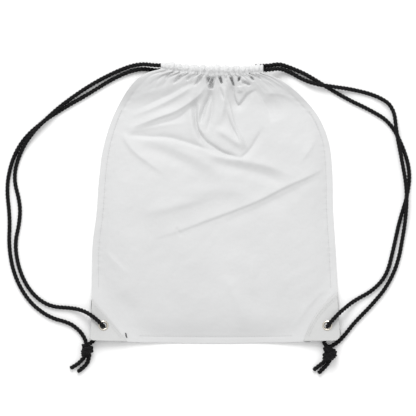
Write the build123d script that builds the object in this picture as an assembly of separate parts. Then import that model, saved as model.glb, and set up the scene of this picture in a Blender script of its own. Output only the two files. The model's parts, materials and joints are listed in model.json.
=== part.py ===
"""A drawstring backpack lying on its back, its mouth gathered shut on two cords.

Millimetres. +X runs to the right, +Y towards the gathered mouth and +Z up from the surface
the bag lies on. The origin is under the middle of the bag, on that surface.
Each piece is written to parts/ as its own STEP file.
"""
from build123d import *
import math
import os

# ---- Bag body -------------------------------------------------------------------------
half_width = 170.0  # half the width across the bottom corners
corner_y = -186.0  # the bottom corners
bottom_bow = 4.5  # how far the bottom edge bows out between them
corner_radius = 5.0
shoulder_half_width = 158.5  # half the width where the straight sides end
shoulder_y = 45.0
shoulder_bulge = 26.5  # how far each gathered shoulder stands out from its chord
mouth_centre_x = -4.0
mouth_half_width = 69.0  # half the gathered width of the mouth
mouth_y = 178.0  # where the panels meet the cord channels
fabric = 1.0  # a panel
seam_margin = 10.0  # flat seam allowance round the pocket
pocket_height = 11.0  # inside, from the back panel to the front panel
skirt_taper = 30.0  # slope of the front panel from the seam up to the pocket, degrees

# ---- Cord channels --------------------------------------------------------------------
cord_diameter = 5.0
slot_wall = 0.75  # fabric left beside the two cords
lane_gap = 1.0  # between the two cords that lie side by side in a channel
slot_clearance = 0.2  # added to the cord's diameter
hem_wall = 0.9  # fabric above and below the cords
notch_length = 11.5  # open end of a channel, where a cord turns back into the other one
turn_inset = 3.6  # from the channel's end to the middle of the turning cord
exit_lead = 7.0  # how far a cord runs straight out of a channel before it bends

# ---- Bottom corners -------------------------------------------------------------------
fold_leg = 100.0  # the corner lifts along a fold this far from its tip, both ways
lift_angle = 9.0  # degrees
patch = 0.7  # thickness of a corner patch
patch_bottom_leg = 50.0
patch_side_leg = {"left": 56.0, "right": 66.0}
eyelet_from_side = 17.0
eyelet_from_bottom = 19.0
eyelet_bore = 8.0
eyelet_barrel_wall = 0.6
eyelet_flange_diameter = 13.6
eyelet_flange = 0.8
washer_diameter = 12.4
washer = 0.4

# ---- Cords ----------------------------------------------------------------------------
floor_cord_z = cord_diameter / 2  # the middle of a cord that lies on the surface
break_gap = 5.2  # from the swing axis to the middle of a strand's rounded end
knot_diameter = 15.0
knot_length = 21.0
over_eyelet_clearance = 1.2
under_eyelet_clearance = 0.1

# ---- Stitching ------------------------------------------------------------------------
stitch_length = 2.6
stitch_pitch = 4.0
stitch_width = 0.6
stitch_height = 0.3
stitch_inset = 4.0  # from the edge that a row follows
patch_row_gap = 3.0  # between the two rows along a patch's long edge

# ---- Sizes that follow ----------------------------------------------------------------
SIDES = {"left": -1, "right": 1}
cord_radius = cord_diameter / 2
channel_depth = 2 * cord_diameter + lane_gap + 2 * slot_wall  # along Y
channel_height = cord_diameter + slot_clearance + 2 * hem_wall  # along Z
mouth_left = mouth_centre_x - mouth_half_width
mouth_right = mouth_centre_x + mouth_half_width
front_z = fabric  # underside of the front panel's seam allowance
pocket_top = fabric + pocket_height
patch_z = 2 * fabric  # underside of a front patch
flange_z = patch_z + patch
channel_mid_y = mouth_y + channel_depth / 2
lane_offset = (cord_diameter + lane_gap) / 2
upper_lane_y = channel_mid_y + lane_offset
lower_lane_y = channel_mid_y - lane_offset
back_lane_z = channel_height / 2
front_lane_z = pocket_top + channel_height / 2


def bag_outline() -> Face:
    """The edge of the lying bag: bowed bottom, straight sides, gathered shoulders, mouth."""
    low_left = (-half_width, corner_y)
    low_right = (half_width, corner_y)
    side_left = (-shoulder_half_width, shoulder_y)
    side_right = (shoulder_half_width, shoulder_y)
    end_left = (mouth_left, mouth_y)
    end_right = (mouth_right, mouth_y)
    edge = Curve() + [
        ThreePointArc(low_left, (0, corner_y - bottom_bow), low_right),
        Line(low_right, side_right),
        SagittaArc(side_right, end_right, -shoulder_bulge),
        Line(end_right, end_left),
        SagittaArc(end_left, side_left, -shoulder_bulge),
        Line(side_left, low_left),
    ]
    outline = make_face(edge)
    return fillet(outline.vertices().sort_by(Axis.Y)[:2], corner_radius)


def corner_zone(side: int, inward: float = 0.0) -> Face:
    """The triangle beyond a bottom corner's fold line, reaching past the bag's edges."""
    past = 30.0
    leg = fold_leg + inward * math.sqrt(2) + 2 * past
    tip = (side * (half_width + past), corner_y - past)
    up = (tip[0], tip[1] + leg)
    across = (tip[0] - side * leg, tip[1])
    return make_face(Polyline(tip, up, across, close=True))


def fold_axis(side: int) -> Axis:
    """A bottom corner's fold line; turning about it by a positive angle lifts the corner."""
    return Axis((side * half_width, corner_y + fold_leg, 0), (-1, -side, 0))


def lifted(piece, side: int):
    """A piece made flat in a bottom corner, turned up about the corner's fold."""
    return piece.rotate(fold_axis(side), lift_angle)


def lifted_point(side: int, x: float, y: float, z: float) -> Vector:
    """Where a point of the flat corner goes when the corner is lifted."""
    return Vertex(x, y, z).rotate(fold_axis(side), lift_angle).center()


def eyelet_centre(side: int) -> tuple:
    """An eyelet's centre in the flat corner."""
    return (side * (half_width - eyelet_from_side), corner_y + eyelet_from_bottom)


def eyelet_hole(side: int) -> Part:
    """The hole that an eyelet's barrel fills through every layer of a flat corner."""
    x, y = eyelet_centre(side)
    return Pos(x, y, 0) * Cylinder(eyelet_bore / 2 + eyelet_barrel_wall, 20)


def layer(outline: Face, bottom: float) -> Part:
    """A fabric layer of this outline, flat in the middle and lifted at both bottom corners."""
    middle = outline
    for side in SIDES.values():
        middle = middle - corner_zone(side)
    made = Pos(0, 0, bottom) * extrude(middle, fabric)
    for side in SIDES.values():
        flap = Pos(0, 0, bottom) * extrude(outline & corner_zone(side), fabric)
        made += lifted(flap - eyelet_hole(side), side)
    return made


def back_panel() -> Part:
    """The panel that the bag lies on."""
    return layer(bag_outline(), 0)


def pocket_outline(inset: float) -> Face:
    """The pocket's foot inside the seams, running out past the mouth."""
    foot = offset(bag_outline(), -inset)
    neck_width = 2 * (mouth_half_width - inset)
    neck_reach = 60.0
    foot += Pos(mouth_centre_x, mouth_y) * Rectangle(neck_width, neck_reach)
    for side in SIDES.values():
        foot -= corner_zone(side, inset)
    return foot


def front_panel() -> Part:
    """The seam allowance on the back panel and the raised panel over the pocket, open at the mouth."""
    wall = fabric / math.cos(math.radians(skirt_taper))
    shell = Pos(0, 0, front_z) * extrude(
        pocket_outline(seam_margin), pocket_height + fabric, taper=skirt_taper
    )
    hollow = Pos(0, 0, front_z) * extrude(
        pocket_outline(seam_margin + wall), pocket_height, taper=skirt_taper
    )
    past_mouth = Pos(mouth_centre_x, mouth_y) * Box(
        2 * half_width, 200, 100, align=(Align.CENTER, Align.MIN, Align.CENTER)
    )
    return layer(bag_outline(), front_z) + shell - hollow - past_mouth


def channel(bottom: float, mouth_side: int) -> Part:
    """A folded hem with two cords side by side in it, open at its ends and notched towards the mouth."""
    length = 2 * mouth_half_width
    body = Box(length, channel_depth, channel_height)
    slot_depth = channel_depth - 2 * slot_wall
    slot_height = cord_diameter + slot_clearance
    body -= Box(length, slot_depth, slot_height)
    for end in SIDES.values():
        at_x = end * (mouth_half_width - notch_length / 2)
        body -= Pos(at_x, 0, mouth_side * channel_height / 2) * Box(
            notch_length, slot_depth, channel_height
        )
    return Pos(mouth_centre_x, channel_mid_y, bottom + channel_height / 2) * body


def corner_patch(name: str, bottom: float) -> Part:
    """A triangular reinforcement of one bottom corner."""
    side = SIDES[name]
    tip = (side * half_width, corner_y - bottom_bow)
    up = (side * half_width, corner_y + patch_side_leg[name])
    across = (side * (half_width - patch_bottom_leg), corner_y - bottom_bow)
    outline = make_face(Polyline(tip, up, across, close=True)) & bag_outline()
    plate = Pos(0, 0, bottom) * extrude(outline, patch)
    return lifted(plate - eyelet_hole(side), side)


def eyelet(name: str) -> Part:
    """A flanged eyelet, its barrel through both patches and both panels."""
    side = SIDES[name]
    bottom = -patch - washer
    barrel_radius = eyelet_bore / 2 + eyelet_barrel_wall
    upward = (Align.CENTER, Align.CENTER, Align.MIN)
    ring = Pos(0, 0, bottom) * Cylinder(barrel_radius, flange_z - bottom, align=upward)
    ring += Pos(0, 0, flange_z) * Cylinder(eyelet_flange_diameter / 2, eyelet_flange, align=upward)
    ring -= Cylinder(eyelet_bore / 2, 40)
    rims = ring.edges().filter_by(GeomType.CIRCLE).group_by(Axis.Z)[-1]
    ring = fillet(rims, 0.45 * eyelet_flange)
    x, y = eyelet_centre(side)
    return lifted(Pos(x, y, 0) * ring, side)


def eyelet_washer(name: str) -> Part:
    """The ring that an eyelet's barrel is set over behind the back patch."""
    side = SIDES[name]
    x, y = eyelet_centre(side)
    ring = Cylinder(washer_diameter / 2, washer)
    ring -= Cylinder(eyelet_bore / 2 + eyelet_barrel_wall, 2 * washer)
    return lifted(Pos(x, y, -patch - washer / 2) * ring, side)


def stitch_row(start: tuple, end: tuple, z: float) -> list:
    """Single stitches in a straight row, lying on a surface at height z."""
    row = Line(start, end)
    count = int(row.length / stitch_pitch)
    along = math.degrees(math.atan2(end[1] - start[1], end[0] - start[0]))
    stitch = Rot(0, 0, along) * Box(stitch_length, stitch_width, stitch_height)
    stitches = []
    for index in range(count):
        place = row @ ((index + 0.5) / count)
        stitches.append(Pos(place.X, place.Y, z + stitch_height / 2) * stitch)
    return stitches


def hem_stitching(z: float, inset: float) -> list:
    """The row that closes a channel's hem, on the panel just below it."""
    y = mouth_y - stitch_inset
    return stitch_row((mouth_left + inset, y), (mouth_right - inset, y), z)


def patch_stitching(name: str) -> list:
    """Two rows along the long edge of a front patch."""
    side = SIDES[name]
    up = Vector(side * half_width, corner_y + patch_side_leg[name])
    across = Vector(side * (half_width - patch_bottom_leg), corner_y)
    run = (across - up).normalized()
    inward = Vector(0, 0, -side).cross(run)
    stitches = []
    for row in range(2):
        shift = inward * (stitch_inset / 2 + row * patch_row_gap)
        start = up + shift + run * 3 * stitch_inset
        end = across + shift - run * 3 * stitch_inset
        stitches += stitch_row((start.X, start.Y), (end.X, end.Y), flange_z)
    return [lifted(stitch, side) for stitch in stitches]


def seam_stitching() -> list:
    """The rows that join the two panels along both sides and the bottom."""
    inset = seam_margin / 2
    top = front_z + fabric
    flat_half = half_width - fold_leg - 2 * inset
    stitches = stitch_row((-flat_half, corner_y + inset / 2), (flat_half, corner_y + inset / 2), top)
    for side in SIDES.values():
        lean = (half_width - shoulder_half_width) / (shoulder_y - corner_y)
        low_y = corner_y + fold_leg + 2 * inset
        low_x = half_width - lean * (low_y - corner_y) - inset
        high_x = shoulder_half_width - inset
        stitches += stitch_row((side * low_x, low_y), (side * high_x, shoulder_y), top)
    return stitches


# ---- Cord routes ----------------------------------------------------------------------
# Each strand leaves a channel, crosses its swing axis, loops round to the bag's bottom corner
# and crosses the axis again. The crossing points are shared by the still and the swinging cord.

axis_points = {
    "left": {
        "upper": (-113.4, 188.2, floor_cord_z),
        "lower": (-115.3, 180.7, floor_cord_z),
        "eyelet": (-196.2, -142.6, floor_cord_z),
        "knot": (-201.1, -162.2, floor_cord_z),
    },
    "right": {
        "upper": (102.2, 185.2, floor_cord_z),
        "lower": (104.3, 177.6, floor_cord_z),
        "eyelet": (191.3, -131.6, floor_cord_z),
        "knot": (197.7, -154.4, floor_cord_z),
    },
}

hump_z = floor_cord_z + cord_diameter + 0.6  # the middle of a cord that crosses over another
mid_hump_z = floor_cord_z + 1.4

left_over_strand = [
    axis_points["left"]["upper"],
    (-136, 179.5, floor_cord_z),
    (-168, 163, floor_cord_z),
    (-199, 142, floor_cord_z),
    (-221, 124, hump_z),
    (-248, 98, hump_z),
    (-266, 71, floor_cord_z),
    (-276, 36, floor_cord_z),
    (-266, 0, floor_cord_z),
    (-267, -26, floor_cord_z),
    (-274, -56, floor_cord_z),
    (-267, -94, floor_cord_z),
    (-250, -124, floor_cord_z),
    (-226, -141, floor_cord_z),
    axis_points["left"]["eyelet"],
]

left_under_strand = [
    axis_points["left"]["lower"],
    (-140, 170, floor_cord_z),
    (-172, 150, floor_cord_z),
    (-205, 131, floor_cord_z),
    (-235, 112, floor_cord_z),
    (-262, 88, floor_cord_z),
    (-278, 58, floor_cord_z),
    (-285, 22, floor_cord_z),
    (-280, -20, floor_cord_z),
    (-282, -60, floor_cord_z),
    (-274, -100, floor_cord_z),
    (-254, -135, floor_cord_z),
    (-226, -156, floor_cord_z),
    axis_points["left"]["knot"],
]

right_under_strand = [
    axis_points["right"]["upper"],
    (123, 176.5, floor_cord_z),
    (148, 161, floor_cord_z),
    (180, 142, floor_cord_z),
    (212, 127, floor_cord_z),
    (238, 111, floor_cord_z),
    (255, 80, floor_cord_z),
    (266, 44, floor_cord_z),
    (262, 10, floor_cord_z),
    (251, -24, floor_cord_z),
    (243, -62, floor_cord_z),
    (234, -98, floor_cord_z),
    (215, -119, floor_cord_z),
    axis_points["right"]["eyelet"],
]

right_over_strand = [
    axis_points["right"]["lower"],
    (117.5, 170, floor_cord_z + 0.5),
    (135, 162.5, hump_z),
    (163, 158.5, hump_z),
    (189, 155, floor_cord_z),
    (220, 147, floor_cord_z),
    (243, 132, hump_z),
    (247, 95, hump_z),
    (254, 59, hump_z),
    (261, 20, hump_z),
    (260, -14, hump_z),
    (256, -44, floor_cord_z),
    (249, -82, floor_cord_z),
    (234, -114, floor_cord_z),
    (213, -139, floor_cord_z),
    axis_points["right"]["knot"],
]

exit_points = {
    "left": {
        "front": [(-97, 190, 7.5)],
        "back": [(-98, 184, floor_cord_z)],
    },
    "right": {
        "front": [(88, 184, 8.0)],
        "back": [(87, 190.5, floor_cord_z)],
    },
}

knot_centres = {"left": (-174.5, -199.0), "right": (156.5, -204.0)}

tail_points = {
    "left": [
        [(-176, -205), (-182, -214), (-190, -221), (-198, -225)],
        [(-171, -205), (-173, -216), (-180, -224), (-188, -230)],
    ],
    "right": [
        [(152, -210), (147, -218), (141, -223), (134.5, -227)],
        [(158, -210), (155, -220), (149, -228), (141, -232)],
    ],
}

to_knot_points = {
    "left": {
        "eyelet": [(-160, -177), (-167, -184), (-171, -190), (-172, -196)],
        "knot": [(-189, -170), (-181, -179), (-178.5, -187), (-178, -194)],
    },
    "right": {
        "eyelet": [(149, -178), (147.5, -187), (150, -195), (154, -201)],
        "knot": [(187, -166), (177, -179), (168, -189), (160, -198)],
    },
}

over_patch_points = {
    "left": [(-182, -145, 9.0), (-167, -152.5, 15.2)],
    "right": [(179, -140.5, 9.0), (166, -151, 15.4)],
}


def shortened(points: list, gap: float) -> list:
    """The route with its first point moved along the first run by gap."""
    first = Vector(*points[0])
    step = (Vector(*points[1]) - first).normalized() * gap
    return [first + step] + [Vector(*point) for point in points[1:]]


def cord(name: str, points: list, rounded_start: bool = False, rounded_end: bool = False) -> Part:
    """A cord along straight runs joined by arcs as large as the runs allow."""
    route = [Vector(*point) for point in points]
    if rounded_start:
        route = shortened(route, break_gap)
    if rounded_end:
        route = shortened(route[::-1], break_gap)[::-1]
    radii = []
    for before, corner, after in zip(route, route[1:], route[2:]):
        into = corner - before
        out = after - corner
        half_turn = math.radians(into.get_angle(out)) / 2
        radii.append(0.45 * min(into.length, out.length) / math.tan(half_turn))
    path = FilletPolyline(*route, radius=radii)
    made = sweep(Plane(path @ 0, z_dir=path % 0) * Circle(cord_radius), path=path)
    wanted = math.pi * cord_radius**2 * path.length
    print(name, "length", round(path.length, 1), "volume ratio", round(made.volume / wanted, 4))
    print("  radii", [round(radius, 1) for radius in radii])
    if rounded_start:
        made += Pos(path @ 0) * Sphere(cord_radius)
    if rounded_end:
        made += Pos(path @ 1) * Sphere(cord_radius)
    return made


def channel_run(name: str) -> Part:
    """A cord from its swing axis in through one channel, round the far end and out through the other."""
    far_x = mouth_right - turn_inset if name == "left" else mouth_left + turn_inset
    near_x = mouth_left - exit_lead if name == "left" else mouth_right + exit_lead
    front_y = upper_lane_y if name == "left" else lower_lane_y
    back_y = lower_lane_y if name == "left" else upper_lane_y
    front_axis = "upper" if name == "left" else "lower"
    back_axis = "lower" if name == "left" else "upper"
    points = [axis_points[name][front_axis]]
    points += exit_points[name]["front"]
    points += [(near_x, front_y, front_lane_z)]
    points += [(far_x, front_y, front_lane_z), (far_x, back_y, back_lane_z)]
    points += [(near_x, back_y, back_lane_z)]
    points += exit_points[name]["back"][::-1]
    points += [axis_points[name][back_axis]]
    return cord(name + "_cord_channel_run", points, True, True)


def eyelet_run(name: str) -> Part:
    """The strand from the swing axis over the corner patch, down through the eyelet and to the knot."""
    side = SIDES[name]
    x, y = eyelet_centre(side)
    over = lifted_point(side, x, y, flange_z + eyelet_flange + cord_radius + over_eyelet_clearance)
    down = lifted_point(side, x, y, 0) - lifted_point(side, x, y, 1)
    under_z = floor_cord_z + under_eyelet_clearance
    under = over + down * ((over.Z - under_z) / -down.Z)
    points = [axis_points[name]["eyelet"]]
    points += over_patch_points[name]
    points += [tuple(over), tuple(under)]
    points += [(px, py, under_z) for px, py in to_knot_points[name]["eyelet"]]
    return cord(name + "_cord_eyelet_run", points, True)


def knot_run(name: str) -> Part:
    """The strand from the swing axis straight to the knot."""
    points = [axis_points[name]["knot"]]
    points += [(px, py, floor_cord_z) for px, py in to_knot_points[name]["knot"]]
    return cord(name + "_cord_knot_run", points, True)


def knot(name: str) -> Part:
    """The overhand knot that ties a cord's two ends, with both cut tails."""
    x, y = knot_centres[name]
    straight = knot_length - knot_diameter
    body = Rot(90, 0, 0) * Cylinder(knot_diameter / 2, straight)
    for end in SIDES.values():
        body += Pos(0, end * straight / 2, 0) * Sphere(knot_diameter / 2)
    made = Pos(x, y, knot_diameter / 2) * body
    for number, tail in enumerate(tail_points[name]):
        route = [(px, py, floor_cord_z) for px, py in tail]
        made += cord(f"{name}_knot tail {number}", route)
    return made


pieces = {
    "back_panel": back_panel(),
    "front_panel": front_panel(),
    "back_channel": channel(0, 1),
    "front_channel": channel(pocket_top, -1),
    "front_hem_stitching": hem_stitching(pocket_top + fabric, seam_margin + pocket_height + 2 * fabric),
    "back_hem_stitching": hem_stitching(fabric, seam_margin + 2 * fabric),
    "seam_stitching": seam_stitching(),
}
for name in SIDES:
    pieces[name + "_front_patch"] = corner_patch(name, patch_z)
    pieces[name + "_back_patch"] = corner_patch(name, -patch)
    pieces[name + "_eyelet"] = eyelet(name)
    pieces[name + "_eyelet_washer"] = eyelet_washer(name)
    pieces[name + "_patch_stitching"] = patch_stitching(name)
    pieces[name + "_cord_channel_run"] = channel_run(name)
    pieces[name + "_cord_eyelet_run"] = eyelet_run(name)
    pieces[name + "_cord_knot_run"] = knot_run(name)
    pieces[name + "_knot"] = knot(name)
pieces["left_eyelet_strand"] = cord("left_eyelet_strand", left_over_strand, True, True)
pieces["left_knot_strand"] = cord("left_knot_strand", left_under_strand, True, True)
pieces["right_eyelet_strand"] = cord("right_eyelet_strand", right_under_strand, True, True)
pieces["right_knot_strand"] = cord("right_knot_strand", right_over_strand, True, True)

os.makedirs("parts", exist_ok=True)
for name, piece in pieces.items():
    if isinstance(piece, list):
        piece = Compound(children=piece)
    export_step(piece, f"parts/{name}.step")
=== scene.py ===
"""A drawstring backpack of white nylon lying on its back, gathered shut on two black cords.

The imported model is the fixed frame: metres, +X to the right, +Y towards the gathered mouth and
+Z up from the surface that the bag lies on. Sizes below are in millimetres, as a bag maker
writes them, and are turned into metres where a mesh is made.
"""

import json
import logging
import math
from dataclasses import dataclass, replace
from enum import Enum

import bpy
import numpy as np
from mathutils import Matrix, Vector


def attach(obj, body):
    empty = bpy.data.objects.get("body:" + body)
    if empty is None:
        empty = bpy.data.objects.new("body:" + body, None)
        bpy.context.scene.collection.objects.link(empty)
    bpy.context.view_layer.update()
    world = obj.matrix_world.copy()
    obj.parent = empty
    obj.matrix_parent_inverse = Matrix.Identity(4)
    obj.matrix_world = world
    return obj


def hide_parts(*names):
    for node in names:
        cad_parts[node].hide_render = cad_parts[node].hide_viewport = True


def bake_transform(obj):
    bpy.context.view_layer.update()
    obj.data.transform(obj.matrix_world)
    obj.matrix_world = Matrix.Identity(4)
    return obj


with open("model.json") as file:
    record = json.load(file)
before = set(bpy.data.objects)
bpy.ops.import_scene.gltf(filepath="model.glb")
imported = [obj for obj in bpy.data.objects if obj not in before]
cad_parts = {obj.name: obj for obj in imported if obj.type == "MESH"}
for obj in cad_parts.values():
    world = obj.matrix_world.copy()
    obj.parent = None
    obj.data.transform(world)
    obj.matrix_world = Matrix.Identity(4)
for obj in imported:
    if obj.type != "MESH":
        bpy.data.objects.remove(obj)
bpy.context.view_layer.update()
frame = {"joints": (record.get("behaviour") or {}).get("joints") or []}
log = logging.getLogger("drawstring_backpack")

MM = 0.001
Point = tuple[float, float, float]
FlatPoint = tuple[float, float]

# Heights of a cord's middle: lying on the surface, crossing over another cord, and in each hem.
FLOOR = 3.05
HUMP = 8.1
IN_FRONT_HEM = 15.5
IN_BACK_HEM = 3.5


class Side(Enum):
    """The bag's two sides, as the sign of X."""

    LEFT = -1
    RIGHT = 1

    @property
    def label(self) -> str:
        """The side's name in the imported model."""
        return self.name.lower()


class Facing(Enum):
    """Which of the bag's two panels."""

    BACK = "back"
    FRONT = "front"


# ---- Small maths ----------------------------------------------------------------------


def eased(value: np.ndarray, start: float, end: float) -> np.ndarray:
    """A share that turns smoothly from 0 at start to 1 at end.

    Args:
        value: Numbers to place between start and end.
        start: Where the share is still 0.
        end: Where it has reached 1; it may be the lower of the two.

    Returns:
        The shares, of value's shape.
    """
    share = np.clip((value - start) / (end - start), 0.0, 1.0)
    return share * share * (3.0 - 2.0 * share)


def smooth_line(points: tuple[FlatPoint, ...], pieces: int = 8) -> np.ndarray:
    """A line drawn smoothly through a few points.

    Args:
        points: The points that it passes through, in millimetres.
        pieces: Straight pieces between two neighbours.

    Returns:
        An array of points, one row each.
    """
    given = np.array(points, float)
    padded = np.vstack([2 * given[0] - given[1], given, 2 * given[-1] - given[-2]])
    drawn = []
    for before, start, end, after in zip(padded, padded[1:], padded[2:], padded[3:]):
        for step in range(pieces):
            t = step / pieces
            bend = (2 * before - 5 * start + 4 * end - after) * t * t
            twist = (3 * start - before - 3 * end + after) * t**3
            drawn.append(0.5 * (2 * start + (end - before) * t + bend + twist))
    drawn.append(given[-1])
    return np.array(drawn)


def distances_along(line: np.ndarray) -> np.ndarray:
    """How far along a line each of its points lies."""
    runs = np.linalg.norm(np.diff(line, axis=0), axis=1)
    return np.concatenate([[0.0], np.cumsum(runs)])


def beside_line(where: np.ndarray, line: np.ndarray) -> tuple[np.ndarray, np.ndarray]:
    """How far points lie beside a line, and how far along it.

    Args:
        where: Points in the plane, one row each.
        line: The line's points, one row each.

    Returns:
        The distance, positive on the left of the line's direction, and the share of its length.
    """
    runs = np.linalg.norm(np.diff(line, axis=0), axis=1)
    reached = distances_along(line)
    nearest = np.full(len(where), np.inf)
    beside = np.zeros(len(where))
    along = np.zeros(len(where))
    for index, run in enumerate(runs):
        step = (line[index + 1] - line[index]) / run
        offset = where - line[index]
        travel = np.clip(offset @ step, 0.0, run)
        gap = offset - travel[:, None] * step
        distance = np.hypot(gap[:, 0], gap[:, 1])
        closer = distance < nearest
        side = np.sign(step[0] * offset[:, 1] - step[1] * offset[:, 0])
        nearest = np.where(closer, distance, nearest)
        beside = np.where(closer, distance * side, beside)
        along = np.where(closer, (reached[index] + travel) / reached[-1], along)
    return beside, along


def soft_noise(x: np.ndarray, y: np.ndarray, size: float, seed: int) -> np.ndarray:
    """Smooth, repeatable unevenness between about -1 and 1.

    Args:
        x: Positions across, in millimetres.
        y: Positions up, in millimetres.
        size: Distance between a high and the next, in millimetres.
        seed: Picks the pattern.

    Returns:
        The unevenness at each position.
    """
    cells = 64
    lattice = np.random.default_rng(seed).uniform(-1.0, 1.0, (cells, cells))
    column = x / size
    row = y / size
    left = np.floor(column).astype(int)
    low = np.floor(row).astype(int)
    across = eased(column - left, 0.0, 1.0)
    up = eased(row - low, 0.0, 1.0)
    bottom = lattice[low % cells, left % cells] * (1 - across)
    bottom = bottom + lattice[low % cells, (left + 1) % cells] * across
    top = lattice[(low + 1) % cells, left % cells] * (1 - across)
    top = top + lattice[(low + 1) % cells, (left + 1) % cells] * across
    return bottom * (1 - up) + top * up


# ---- Shader node groups ---------------------------------------------------------------


@dataclass
class GroupBuilder:
    """Builds one shader node group with named inputs and outputs."""

    name: str

    def __post_init__(self) -> None:
        """Makes the empty group and its two ends."""
        self.tree = bpy.data.node_groups.new(self.name, "ShaderNodeTree")
        self.start = self.tree.nodes.new("NodeGroupInput")
        self.end = self.tree.nodes.new("NodeGroupOutput")

    def takes(self, **inputs: float | None) -> list[bpy.types.NodeSocket]:
        """Adds the group's inputs.

        Args:
            **inputs: What each holds when nothing is linked, or None for a vector, with _ for
                the spaces in its name.

        Returns:
            The sockets that carry them into the group, in the same order.
        """
        names = [key.replace("_", " ") for key in inputs]
        for name, value in zip(names, inputs.values()):
            kind = "NodeSocketVector" if value is None else "NodeSocketFloat"
            socket = self.tree.interface.new_socket(name, in_out="INPUT", socket_type=kind)
            if value is not None:
                socket.default_value = value
        return [self.start.outputs[name] for name in names]

    def gives(self, name: str, source: bpy.types.NodeSocket) -> None:
        """Adds an output socket fed by source."""
        self.tree.interface.new_socket(name, in_out="OUTPUT", socket_type="NodeSocketFloat")
        self.tree.links.new(source, self.end.inputs[name])

    def node(self, kind: str, **settings: object) -> bpy.types.Node:
        """Adds a node and sets its properties.

        Args:
            kind: The node's type.
            **settings: Properties to set on it.

        Returns:
            The node.
        """
        made = self.tree.nodes.new(kind)
        for key, value in settings.items():
            setattr(made, key, value)
        return made

    def feed(self, target: bpy.types.NodeSocket, value: object) -> None:
        """Gives a socket a plain number, or links another socket to it.

        Args:
            target: The socket to fill.
            value: A number, or the socket to link.
        """
        if isinstance(value, (int, float)):
            target.default_value = value
        else:
            self.tree.links.new(value, target)

    def maths(self, operation: str, first: object, second: object = 0.0) -> bpy.types.NodeSocket:
        """One sum on sockets or plain numbers.

        Args:
            operation: The Math node's operation.
            first: A socket or a number.
            second: A socket or a number.

        Returns:
            The result's socket.
        """
        made = self.node("ShaderNodeMath", operation=operation)
        self.feed(made.inputs[0], first)
        self.feed(made.inputs[1], second)
        return made.outputs[0]

    def noise(
        self, place: bpy.types.NodeSocket, scale: object, detail: float, roughness: float = 0.5
    ) -> bpy.types.NodeSocket:
        """Cloudy noise.

        Args:
            place: The socket with the place in the texture.
            scale: Patches per metre, as a socket or a number.
            detail: Steps of finer noise.
            roughness: How strong the finer steps are.

        Returns:
            The noise's socket, from 0 to 1.
        """
        made = self.node("ShaderNodeTexNoise")
        inputs = {"Vector": place, "Scale": scale, "Detail": detail, "Roughness": roughness}
        for name, value in inputs.items():
            self.feed(made.inputs[name], value)
        return made.outputs[0]


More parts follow.
